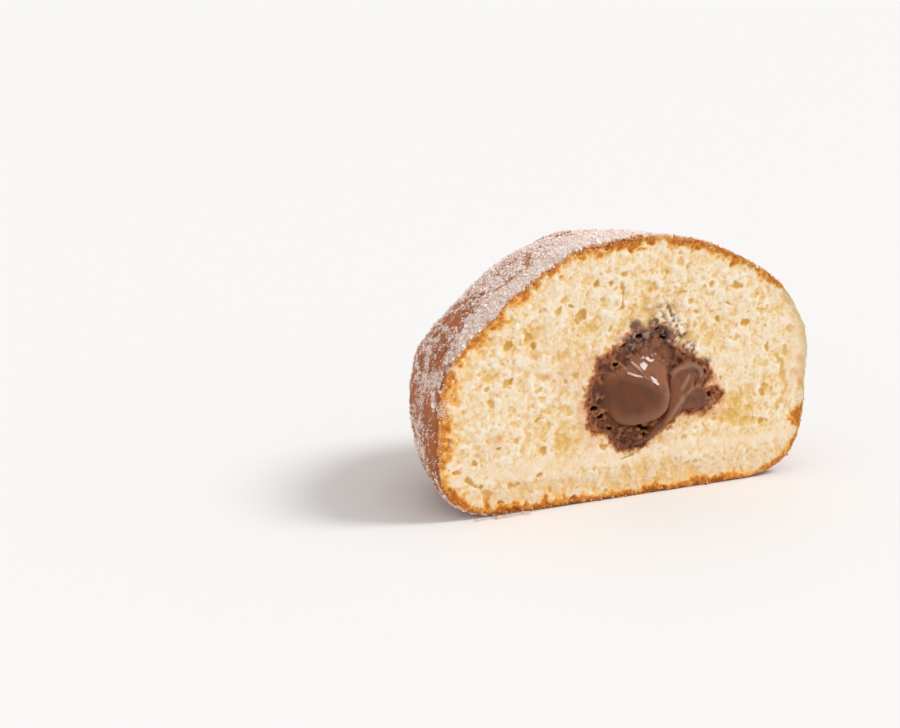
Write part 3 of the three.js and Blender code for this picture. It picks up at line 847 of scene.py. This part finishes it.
def makeFilling():
    # a grid over the stain: porous soaked crumb, with the cream, its drops and the dark holes laid over it
    step = filling["gridStep"]
    margin = filling["gridMargin"]
    low, high = stainOutline.min(0) - margin, stainOutline.max(0) + margin
    x, z = np.meshgrid(np.arange(low[0], high[0], step), np.arange(low[1], high[1], step))
    flat = onCut(x, z)
    cream, smooth, lip, inMain, gloss, above = creamHeight(x, z)
    u, v = x + 0.35 * waves(flat, 1.2, 103, 2), z + 0.35 * waves(flat, 1.2, 104, 2)
    # the soaked crumb: pores between tufts, deeper at the listed holes, which are as ragged as torn crumb
    tufts = 0.4 * fade(-0.1, 0.4, waves(onCut(u, v), 1.3, 107, 2)) + 0.14 * waves(flat, 0.5, 108)
    soaked = 0.75 + 0.4 * bubbles(u, v, *filling["poreSize"], 105) - tufts
    hole = np.zeros(x.shape)
    ragged = 0.5 * waves(flat, 0.9, 111, 2), 0.5 * waves(flat, 0.9, 114, 2)
    for holeX, holeZ, radius in darkHoles:
        reach = np.hypot(u - holeX + ragged[0], (v - holeZ + ragged[1]) * 1.5) / (1.15 * radius)
        hole = np.maximum(hole, fade(1.3, 0.5, reach))
    soaked = soaked + filling["holeDepth"] * hole
    cavity = soaked - blurred(soaked, round(filling["cavityWidth"] / step))
    isCream = cream > filling["leastCream"]
    y = np.where(isCream, np.minimum(mix(soaked, -cream, smooth), soaked + 0.6), soaked)
    wet = smooth * isCream
    for dropX, dropZ, radius in drops:
        across = np.hypot(x - dropX, (z - dropZ) * 1.15) / radius
        y = y - filling["dropHeight"] * radius * np.sqrt(np.maximum(0, 1 - across ** 2))
        wet = np.maximum(wet, fade(1.1, 0.8, across))
        gloss = np.maximum(gloss, fade(1.1, 0.8, across))
    stain = stainGap(x, z)
    y = y + filling["borderSink"] * fade(0.1, -filling["passUnder"], stain) * (1 - wet)
    # long streaks that lean to the right going down
    leaning = np.stack([x + 0.35 * z, 0 * x, 0.3 * (z - 0.35 * x)], -1)
    inside = gapInside(x, z, stainOutline) > -filling["passUnder"]
    values = {
        "smooth": wet,
        "lip": lip * smooth,
        "gloss": gloss,
        # painted shade: how far the soaked crumb lies below its surroundings, for its darker colour
        "cavity": 0.4 + cavity,
        "edge": np.clip(1 - stain / 2.2, 0, 1),
        "main": fade(0, 1.0, inMain),
        # painted light: the fold's face above the ridge, which tilts up towards the light
        "upper": fade(-2.5, 1.0, above) * fade(0, 1.0, inMain),
        "streak": 0.5 + 0.5 * waves(leaning, 1.3, 113, 3),
        "high": fade(33.5, 36.5, z + 0.8 * waves(flat, 2.0, 109)),
    }
    pole = np.array([filling["middle"][0], filling["depth"], filling["middle"][1]])
    return reliefPatch("filling_cream", x, y, z, inside, values, creamBack, pole)


# Scattered pieces: sugar in four sizes and torn flakes of crust. Each is one simple shape, repeated

# power says how closely the grains keep to where the sugar is thick
scattered = {
    "sugar_coarse": {"count": 10000, "size": 0.3, "sizeSpread": 0.3, "power": 1.7, "stretch": (0.7, 1.3)},
    "sugar_fine": {"count": 23400, "size": 0.22, "sizeSpread": 0.28, "power": 1.5, "stretch": (0.7, 1.3)},
    "sugar_dust": {"count": 44000, "size": 0.19, "sizeSpread": 0.25, "power": 1.4, "stretch": (0.8, 1.3)},
    "sugar_clumps": {"count": 1400, "size": 0.55, "sizeSpread": 0.3, "power": 3.0, "stretch": (0.5, 1.2)},
    "crust_flakes": {"count": 300, "size": 0.45, "sizeSpread": 0.35, "stretch": (0.35, 1.3)},
}
sinking = (-0.45, 0.4)  # from how deep to how proud a bit's middle lies, as shares of half its size
lumpiness = 0.25  # how unevenly far out the corners of a lump lie
aboveFloor = 0.02  # mm, the least for any corner of a bit
chipCorners = np.array([[1, 1, 1], [1, -1, -1], [-1, 1, -1], [-1, -1, 1]], float)
chipFaces = np.array([[0, 1, 2], [0, 3, 1], [0, 2, 3], [1, 3, 2]])
boxCorners = np.array([[x, y, z] for x in (-1, 1) for y in (-1, 1) for z in (-1, 1)], float)
boxFaces = np.array([[0, 1, 3, 2], [4, 6, 7, 5], [0, 4, 5, 1], [2, 3, 7, 6], [0, 2, 6, 4], [1, 5, 7, 3]])
gemCorners = np.array([[1, 0, 0], [-1, 0, 0], [0, 1, 0], [0, -1, 0], [0, 0, 1], [0, 0, -1]], float)
gemFaces = np.array([[0, 2, 4], [2, 1, 4], [1, 3, 4], [3, 0, 4], [2, 0, 5], [1, 2, 5], [3, 1, 5], [0, 3, 5]])
g = (1 + math.sqrt(5)) / 2  # the golden ratio places the 12 corners of a lump
lumpCorners = np.array([
    [-1, g, 0], [1, g, 0], [-1, -g, 0], [1, -g, 0], [0, -1, g], [0, 1, g],
    [0, -1, -g], [0, 1, -g], [g, 0, -1], [g, 0, 1], [-g, 0, -1], [-g, 0, 1],
]) / math.hypot(1, g)
lumpFaces = np.array([
    [0, 11, 5], [0, 5, 1], [0, 1, 7], [0, 7, 10], [0, 10, 11], [1, 5, 9], [5, 11, 4], [11, 10, 2], [10, 7, 6],
    [7, 1, 8], [3, 9, 4], [3, 4, 2], [3, 2, 6], [3, 6, 8], [3, 8, 9], [4, 9, 5], [2, 4, 11], [6, 2, 10],
    [8, 6, 7], [9, 8, 1],
])


def randomTurns(count):
    # random rotation matrices from unit quaternions
    q = rng.normal(size=(count, 4))
    q /= np.linalg.norm(q, axis=1, keepdims=True)
    w, x, y, z = q.T
    return np.stack([
        np.stack([1 - 2 * (y * y + z * z), 2 * (x * y - z * w), 2 * (x * z + y * w)], -1),
        np.stack([2 * (x * y + z * w), 1 - 2 * (x * x + z * z), 2 * (y * z - x * w)], -1),
        np.stack([2 * (x * z - y * w), 2 * (y * z + x * w), 1 - 2 * (x * x + y * y)], -1),
    ], -2)


def placesOnCrust(outside, count, power):
    # random places on the crust, chosen by area times sugar cover to a power, and which way is out there
    a, b = outside[:-1], outside[1:]
    corners = np.stack([a, np.roll(a, -1, 1), np.roll(b, -1, 1), b], -2).reshape(-1, 4, 3)
    normal = np.cross(corners[:, 3] - corners[:, 1], corners[:, 2] - corners[:, 0])
    area = np.linalg.norm(normal, axis=1)
    middle = corners.mean(1)
    cover = sugarCover(middle, bakedAt(middle)) * (1 - overEdge(middle))
    # more where grains gather and sugar is thick, none under the base
    groups = np.clip(0.6 + 1.2 * grouping(middle) + 2.5 * np.maximum(cover - 1, 0), 0.05, 1)
    weight = np.cumsum(area * groups * cover ** power * (middle[:, 2] > 0.4))
    pick = np.searchsorted(weight, rng.random(count) * weight[-1])
    u, v = rng.random((2, count, 1))
    c = corners[pick]
    place = (c[:, 0] * (1 - u) + c[:, 1] * u) * (1 - v) + (c[:, 3] * (1 - u) + c[:, 2] * u) * v
    out = normal[pick] / np.maximum(area[pick], 1e-9)[:, None]
    return place, out


def placesSpilled():
    # along the cut's edge, and in a flat normal spread round each listed place on the cut or on the floor
    theta = np.radians(rng.uniform(*sugaredEdge["turn"], sugaredEdge["count"]))
    places = [bunPoints(turned(theta, 0 * theta), -rng.exponential(sugaredEdge["reach"], len(theta)))]
    for *middle, radius, count in spilledSugar:
        places.append(rng.normal(size=(count, 3)) * np.array([0.6, 0.2, 0.6]) * radius + np.array(middle))
    place = np.concatenate(places)
    onFloor = place[:, 2] < 5
    place[:, 1] = np.minimum(place[:, 1], np.where(onFloor, -0.2, 0.1))
    place[:, 2] = np.where(onFloor, 0.1 + 0.1 * np.abs(place[:, 2]), place[:, 2])
    return place


def makeScattered(name, place, out, corners, faces, smooth=False):
    # each bit is the same few corners, stretched, turned at random and sunk partly into the surface
    settings = scattered[name]
    count = len(place)
    size = settings["size"] / 2 * np.exp(settings["sizeSpread"] * rng.normal(size=count))
    stretch = rng.uniform(*settings["stretch"], size=(count, 1, 3))
    uneven = lumpiness * (len(corners) == len(lumpCorners))  # only lumps are uneven
    jitter = 1 + uneven * rng.normal(size=(count, len(corners), 1))
    shape = corners[None] * jitter * stretch * size[:, None, None]
    shape = np.einsum("nij,nkj->nki", randomTurns(count), shape)
    centre = place + out * (size * rng.uniform(*sinking, count))[:, None]
    points = centre[:, None] + shape
    points[..., 2] = np.maximum(points[..., 2], aboveFloor)
    allFaces = (faces[None] + (np.arange(count) * len(corners))[:, None, None]).reshape(-1, faces.shape[1])
    return newPiece(name, points.reshape(-1, 3) + shift, [allFaces], smooth=smooth)


def placesOnRim(count):
    # random places on the browned border of the cut, more of them low down
    theta = rng.uniform(0, 2 * np.pi, 4 * count)
    rim = bunPoints(turned(theta, np.zeros_like(theta)))
    brown = np.interp(np.degrees(np.angle(np.exp(1j * theta))), rimBrowning[:, 0], rimBrowning[:, 1])
    kept = rng.random(len(theta)) < np.clip(brown / 2.2, 0, 1) * mix(1.0, 0.6, fade(4, 14, rim[:, 2]))
    theta, rim, brown = theta[kept][:count], rim[kept][:count], brown[kept][:count]
    inward = rng.uniform(-0.1, 0.8, len(theta)) * (brown + 0.4)
    place = rim - inward[:, None] * np.stack([np.cos(theta), 0 * theta, np.sin(theta)], -1)
    place[:, 1] = 0.15
    place[:, 2] = np.maximum(place[:, 2], 0.15)
    return place


# Materials

def addNode(tree, kind, settings=None, links=None):
    # settings: sockets by name or number, node properties, or a ramp's places and colours;
    # links: the node's input sockets to the outputs that feed them
    node = tree.nodes.new(kind)
    for key, value in (settings or {}).items():
        if key == "ramp":
            stops = node.color_ramp.elements
            stops.remove(stops[1])
            stops[0].position, stops[0].color = value[0][0], linear(value[0][1])
            for place, colour in value[1:]:
                stops.new(place).color = linear(colour)
        elif isinstance(key, int) or key in node.inputs:
            node.inputs[key].default_value = value
        else:
            setattr(node, key, value)
    for key, source in (links or {}).items():
        tree.links.new(source, node.inputs[key])
    return node


def newMaterial(name):
    material = bpy.data.materials.new(name)
    material.use_nodes = True
    material.node_tree.nodes.clear()
    return material, material.node_tree


def patternsFor(tree, attributes, noises):
    # output sockets by name: the piece's own attributes, and noises given by size in mm, detail and roughness
    place = addNode(tree, "ShaderNodeTexCoord").outputs["Object"]
    sockets = {}
    for label in attributes:
        sockets[label] = addNode(tree, "ShaderNodeAttribute", {"attribute_name": label}).outputs["Fac"]
    for label, (size, detail, roughness) in noises.items():
        settings = {"Scale": 1 / (size * mm), "Detail": detail, "Roughness": roughness}
        sockets[label] = addNode(tree, "ShaderNodeTexNoise", settings, {"Vector": place}).outputs["Fac"]
    return sockets


def layered(tree, base, layers):
    # colours laid over each other: each layer is a mask socket, the mask values where it starts and is full,
    # its greatest share, and a hex colour or a socket
    for mask, start, full, share, over in layers:
        limits = {"From Min": start, "From Max": full, "To Max": share}
        factor = addNode(tree, "ShaderNodeMapRange", limits, {"Value": mask}).outputs["Result"]
        node = addNode(tree, "ShaderNodeMix", {"data_type": "RGBA"}, {"Factor": factor})
        for socket, value in ((6, base), (7, over)):
            if isinstance(value, str):
                node.inputs[socket].default_value = linear(value)
            else:
                tree.links.new(value, node.inputs[socket])
        base = node.outputs[2]
    return base


def finish(material, tree, settings, links):
    # the shader at the end of every material, with the piece's gloss and glow
    shader = addNode(tree, "ShaderNodeBsdfPrincipled", settings, links)
    addNode(tree, "ShaderNodeOutputMaterial", None, {"Surface": shader.outputs[0]})
    return material


def toastColours(tree, p):
    # the cut's fried border, from golden to dark brown, mottled by fine noise
    mottle = addNode(tree, "ShaderNodeMath", {"operation": "MULTIPLY_ADD", 1: 0.36, 2: -0.18}, {0: p["fine"]})
    toast = addNode(tree, "ShaderNodeMath", {"operation": "ADD"}, {0: p["toast"], 1: mottle.outputs[0]})
    ramp = [(0.02, "#F8DBAC"), (0.27, "#EFBD74"), (0.48, "#DF9744"), (0.7, "#C0702F"), (0.95, "#8F4820")]
    return addNode(tree, "ShaderNodeValToRGB", {"ramp": ramp}, {"Fac": toast.outputs[0]})


def crumbMaterial():
    # Baked yeast dough, torn by the knife: matt and cream-coloured, translucent enough that its pores glow
    # ochre; that glow and the shade in its hollows are also painted into its colour. The fluff of 0.5 mm and
    # the specks of 1.6 mm are about a torn tuft and a pore in size
    material, tree = newMaterial("yeastDoughCrumb")
    p = patternsFor(tree, ("cavity", "toast", "stain", "grey", "tan", "streaks", "under"), {
        "broad": (6, 3, 0.5),
        "fine": (0.9, 3, 0.6),
        "tuft": (0.5, 3, 0.65),
        "speck": (1.6, 1, 0.5),
    })
    # painted shade and glow: the ramp paints hollows ochre and tufts pale, and the tuft noise that makes the
    # bump also paints its own rises paler
    hollow = {"operation": "MULTIPLY_ADD", 1: -0.4}  # what lies low looks deeper where the fluff is thin
    height = addNode(tree, "ShaderNodeMath", hollow, {0: p["tuft"], 2: p["cavity"]})
    doughAndShadeRamp = [(0.03, "#F5E8D6"), (0.17, "#F4E2CB"), (0.3, "#F1DBBA"), (0.43, "#EDCD99"), (0.63, "#E5BC74"),
                 (0.95, "#DBAA5A")]
    dough = addNode(tree, "ShaderNodeValToRGB", {"ramp": doughAndShadeRamp}, {"Fac": height.outputs[0]})
    fray = addNode(tree, "ShaderNodeMath", {"operation": "MULTIPLY_ADD", 1: 0.5, 2: -0.25}, {0: p["fine"]})
    stain = addNode(tree, "ShaderNodeMath", {"operation": "ADD"}, {0: p["stain"], 1: fray.outputs[0]})
    stainRamp = [(0.12, "#E6BC88"), (0.3, "#CC925F"), (0.46, "#9C6040"), (0.6, "#744329"), (0.85, "#56301D")]
    stained = addNode(tree, "ShaderNodeValToRGB", {"ramp": stainRamp}, {"Fac": stain.outputs[0]})
    colour = layered(tree, dough.outputs[0], [
        (p["broad"], 0.42, 0.7, 0.2, "#EBCB99"),
        # painted shade, low down towards the floor
        (p["under"], 0.0, 1.0, 0.35, "#DBB98C"),
        (p["streaks"], 0.1, 0.6, 0.7, "#E8C78A"),
        (p["tan"], 0.1, 0.9, 0.65, "#DFA36F"),
        (p["toast"], 0.0, 0.25, 1.0, toastColours(tree, p).outputs[0]),
        (p["speck"], 0.68, 0.76, 0.55, "#E39A55"),
        (stain.outputs[0], 0.1, 0.35, 1.0, stained.outputs[0]),
        (p["grey"], 0.1, 0.55, 0.55, "#B39480"),
        (p["grey"], 0.35, 0.9, 0.8, "#624238"),
    ])
    bump = addNode(tree, "ShaderNodeBump", {"Strength": 0.5, "Distance": 0.15 * mm}, {"Height": p["tuft"]})
    return finish(material, tree, {
        "Roughness": 0.8,
        "IOR": 1.4,
        "Specular IOR Level": 0.1,
        "Subsurface Weight": 0.7,
        "Subsurface Radius": (1.0, 0.95, 0.85),
        "Subsurface Scale": 1.2 * mm,
    }, {"Base Color": colour, "Normal": bump.outputs[0]})


def crustMaterial():
    # Deep-fried dough skin: orange-brown and faintly greasy, pale round the belt, greyed where fine sugar
    # clings. The grit stands for powdered sugar too fine to show, so it is drawn as coarse as 0.4 mm
    material, tree = newMaterial("friedCrust")
    p = patternsFor(tree, ("baked", "cover", "grouped", "lip", "toast"), {
        "broad": (8, 4, 0.55),
        "soft": (2.0, 3, 0.6),
        "fine": (0.75, 3, 0.65),
        "grit": (0.4, 3, 0.6),
    })
    ragged = {"operation": "MULTIPLY_ADD", 1: 0.5}
    edge = addNode(tree, "ShaderNodeMath", ragged, {0: p["soft"], 2: p["baked"]})
    grouped = {"operation": "MULTIPLY_ADD", 1: 0.8}
    dust = addNode(tree, "ShaderNodeMath", grouped, {0: p["grouped"], 2: p["cover"]})
    gritty = {"operation": "MULTIPLY_ADD", 1: 0.7}
    grainy = addNode(tree, "ShaderNodeMath", gritty, {0: p["grit"], 2: dust.outputs[0]})
    pale = layered(tree, "#EBC598", [
        (p["broad"], 0.35, 0.7, 1.0, "#D9A671"),
        (p["soft"], 0.5, 0.75, 0.6, "#F2D8B8"),
    ])
    brown = layered(tree, "#B36129", [
        (p["broad"], 0.35, 0.68, 1.0, "#91491B"),
        (p["soft"], 0.5, 0.75, 0.7, "#C27536"),
        (p["cover"], 0.3, 0.8, 0.5, "#9C5B36"),
        (grainy.outputs[0], 1.25, 1.75, 0.7, "#CF9775"),
    ])
    skin = layered(tree, pale, [
        (edge.outputs[0], 0.35, 0.75, 1.0, "#D79145"),
        (edge.outputs[0], 0.7, 1.15, 1.0, brown),
        (grainy.outputs[0], 1.55, 2.05, 0.92, "#F8E9E3"),
    ])
    colour = layered(tree, skin, [(p["lip"], 0.3, 1.0, 1.0, toastColours(tree, p).outputs[0])])
    grit = {"Strength": 0.5, "Distance": 0.2 * mm}
    bump = addNode(tree, "ShaderNodeBump", grit, {"Height": grainy.outputs[0]})
    return finish(material, tree, {
        "Roughness": 0.6,
        "IOR": 1.45,
        "Specular IOR Level": 0.25,
        "Subsurface Weight": 0.15,
        "Subsurface Radius": (1.0, 0.7, 0.5),
        "Subsurface Scale": 0.6 * mm,
    }, {"Base Color": colour, "Normal": bump.outputs[0]})


def creamMaterial():
    # Chocolate hazelnut cream: smooth and wet-looking with soft streaks, rough and darker where crumb has
    # soaked it up, with painted shade down in the soaked crumb's pores and holes
    material, tree = newMaterial("chocolateCream")
    p = patternsFor(tree, ("smooth", "lip", "gloss", "cavity", "edge", "main", "upper", "high", "streak"), {
        "soft": (1.2, 3, 0.55),
        "broad": (4.5, 2, 0.5),
    })
    folds = layered(tree, "#824B2E", [
        (p["broad"], 0.4, 0.6, 1.0, "#69402F"),
        (p["soft"], 0.5, 0.7, 0.5, "#5C3B30"),
    ])
    mainFoldColour = layered(tree, "#76401F", [
        (p["streak"], 0.4, 0.75, 0.7, "#5B3A27"),
        (p["broad"], 0.4, 0.65, 0.6, "#553020"),
        # painted light: the face above the ridge, which tilts up towards the light, is painted lighter
        (p["upper"], 0.1, 1.0, 0.8, "#8F5A3C"),
    ])
    cream = layered(tree, folds, [
        (p["main"], 0.0, 0.6, 1.0, mainFoldColour),
        (p["lip"], 0.05, 1.0, 0.9, "#A9795C"),
    ])
    rusty = layered(tree, "#8A5233", [(p["broad"], 0.4, 0.6, 1.0, "#BC7442")])
    # painted shade over the chocolate's own brown: the soaked crumb is painted darker the lower it lies below
    # its surroundings
    soakedAndShadeRamp = [(0.05, "#A0683F"), (0.3, "#794324"), (0.6, "#502915"), (1.0, "#260F08")]
    soakedTufts = addNode(tree, "ShaderNodeValToRGB", {"ramp": soakedAndShadeRamp}, {"Fac": p["cavity"]})
    greyAndShadeRamp = [(0.05, "#A07F70"), (0.3, "#705044"), (0.6, "#452A20"), (1.0, "#1F0E08")]
    greyTufts = addNode(tree, "ShaderNodeValToRGB", {"ramp": greyAndShadeRamp}, {"Fac": p["cavity"]})
    soaked = layered(tree, soakedTufts.outputs[0], [
        (p["edge"], 0.35, 0.85, 0.75, rusty),
        (p["high"], 0.0, 1.0, 0.9, greyTufts.outputs[0]),
        # painted shade: nearly black down in the deepest pores and holes
        (p["cavity"], 0.65, 1.3, 1.0, "#33180E"),
    ])
    colour = layered(tree, soaked, [(p["smooth"], 0.3, 0.8, 1.0, cream)])
    glossy = {"From Min": 0.1, "From Max": 1.0, "To Min": 0.5, "To Max": 0.09}
    rough = addNode(tree, "ShaderNodeMapRange", glossy, {"Value": p["gloss"]})
    bump = addNode(tree, "ShaderNodeBump", {"Strength": 0.15, "Distance": 0.1 * mm}, {"Height": p["soft"]})
    return finish(material, tree, {
        "IOR": 1.46,
        "Specular IOR Level": 0.35,
        "Subsurface Weight": 0.15,
        "Subsurface Radius": (1.0, 0.5, 0.3),
        "Subsurface Scale": 0.8 * mm,
    }, {"Base Color": colour, "Roughness": rough.outputs["Result"], "Normal": bump.outputs[0]})


def sugarMaterial(name, tint, shade):
    # Granulated sugar: crystals that read as frosty white, with tan ones among them
    material, tree = newMaterial(name)
    p = patternsFor(tree, (), {"soft": (0.9, 2, 0.5)})
    colour = layered(tree, tint, [(p["soft"], 0.4, 0.65, 1.0, shade)])
    return finish(material, tree, {
        "Roughness": 0.5,
        "IOR": 1.54,
        "Subsurface Weight": 0.35,
        "Subsurface Radius": (1.0, 1.0, 1.0),
        "Subsurface Scale": 0.4 * mm,
    }, {"Base Color": colour})


def flakeMaterial(name, light, dark):
    # Torn bits of fried dough: dry and matt, lighter in places
    material, tree = newMaterial(name)
    p = patternsFor(tree, (), {"soft": (1.4, 2, 0.5), "grit": (0.3, 2, 0.5)})
    colour = layered(tree, light, [(p["soft"], 0.4, 0.65, 1.0, dark)])
    bump = addNode(tree, "ShaderNodeBump", {"Strength": 0.4, "Distance": 0.1 * mm}, {"Height": p["grit"]})
    return finish(material, tree, {
        "Roughness": 0.85,
        "Specular IOR Level": 0.1,
        "Subsurface Weight": 0.15,
        "Subsurface Radius": (1.0, 0.8, 0.6),
        "Subsurface Scale": 0.4 * mm,
    }, {"Base Color": colour, "Normal": bump.outputs[0]})


# Pieces

crustPiece, outside = makeCrust()
crumbPiece = makeCrumb()
creamPiece = makeFilling()
towardsCut = np.array([[0.0, -1.0, 0.0]])
rimPlaces = placesOnRim(scattered["crust_flakes"]["count"])
grains = []
for name, corners, faces in (
    ("sugar_coarse", boxCorners, boxFaces),
    ("sugar_fine", gemCorners, gemFaces),
    ("sugar_dust", chipCorners, chipFaces),
    ("sugar_clumps", lumpCorners, lumpFaces),
):
    place, out = placesOnCrust(outside, scattered[name]["count"], scattered[name]["power"])
    if name == "sugar_fine":  # the spilled sugar is fine too
        spilled = placesSpilled()
        place = np.concatenate([place, spilled])
        out = np.concatenate([out, np.repeat(towardsCut, len(spilled), 0)])
    grains.append(makeScattered(name, place, out, corners, faces))
flakes = makeScattered("crust_flakes", rimPlaces, towardsCut, lumpCorners, lumpFaces, smooth=True)
print("pieces made")

for piece, material in (
    (crustPiece, crustMaterial()),
    (crumbPiece, crumbMaterial()),
    (creamPiece, creamMaterial()),
    (grains[0], sugarMaterial("granulatedSugar", "#FFF0EA", "#E9BFA8")),
    (grains[1], sugarMaterial("fineSugar", "#FBECE6", "#E4BFAE")),
    (grains[2], sugarMaterial("sugarDust", "#F9E8E1", "#E8C6B6")),
    (grains[3], sugarMaterial("cakedSugar", "#FBF0EC", "#EEDCD6")),
    (flakes, flakeMaterial("tornCrust", "#EBAA62", "#D0874A")),
):
    piece.data.materials.append(material)
print("materials made")


# Stage: pale floor, soft light, camera

camera = {
    "lens": 85,
    "azimuth": -26.0,  # degrees from straight in front of the cut, below 0 to the left
    "elevation": 14.06,
    "distance": 455.4,
    "aim": (-45.12, 0.0, 35.97),  # mm from the frame's origin, from the plane of the cut, from the floor
    "clipStart": 0.01,  # metres
}
light = {
    "room": 0.76,
    "roomTint": (0.99, 1.0, 0.99),
    "sunTint": (0.96, 1.0, 1.02),
    "sunAzimuth": 62,
    "sunElevation": 48,
    "sunAngle": 20,
    "sunStrength": 1.8,
}
floorSettings = {"reach": 6.0, "colour": "#EBE7E6", "roughness": 0.7}  # reach in metres


def backFrom(azimuth, elevation):
    # unit vector back towards a light or camera: azimuth 0 faces the cut, 90 is at the right
    a, e = math.radians(azimuth), math.radians(elevation)
    return Vector((math.sin(a) * math.cos(e), -math.cos(a) * math.cos(e), math.sin(e)))


def addToScene(name, data, place, back):
    # a light or camera at a place, looking the opposite way from `back`
    thing = bpy.data.objects.new(name, data)
    thing.location = place
    thing.rotation_euler = (-back).to_track_quat("-Z", "Y").to_euler()
    bpy.context.scene.collection.objects.link(thing)
    return thing


def makeStage():
    # a broad pale floor, even light from all round, a soft sun and the camera
    r = floorSettings["reach"]
    mesh = bpy.data.meshes.new("floor")
    mesh.from_pydata([(-r, -r, 0), (r, -r, 0), (r, r, 0), (-r, r, 0)], [], [(0, 1, 2, 3)])
    floor = bpy.data.objects.new("floor", mesh)
    bpy.context.scene.collection.objects.link(floor)
    material, tree = newMaterial("paleFloor")
    paint = {"Base Color": linear(floorSettings["colour"]), "Roughness": floorSettings["roughness"]}
    mesh.materials.append(finish(material, tree, paint, {}))
    world = bpy.data.worlds.new("softRoom")
    bpy.context.scene.world = world
    world.use_nodes = True
    background = world.node_tree.nodes["Background"]
    background.inputs["Color"].default_value = (*light["roomTint"], 1.0)
    background.inputs["Strength"].default_value = light["room"]
    sun = bpy.data.lights.new("softSun", "SUN")
    sun.energy, sun.angle = light["sunStrength"], math.radians(light["sunAngle"])
    sun.color = light["sunTint"]
    back = backFrom(light["sunAzimuth"], light["sunElevation"])
    addToScene("softSun", sun, back, back)
    back = backFrom(camera["azimuth"], camera["elevation"])
    lens = bpy.data.cameras.new("camera")
    lens.lens, lens.clip_start = camera["lens"], camera["clipStart"]
    aim = (Vector(camera["aim"]) + Vector((0, doughLow[1], 0))) * mm
    bpy.context.scene.camera = addToScene("camera", lens, aim + back * camera["distance"] * mm, back)
    bpy.context.scene.view_settings.view_transform = "Standard"


makeStage()
print("stage made")

for piece, slotName in (
    (crustPiece, "dough"),
    (crumbPiece, "crumb"),
    (creamPiece, "filling"),
    (flakes, "dough"),
    *((grain, "sugar") for grain in grains),
):
    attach(piece, "root")
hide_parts("dough")
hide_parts("dough")
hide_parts("filling")
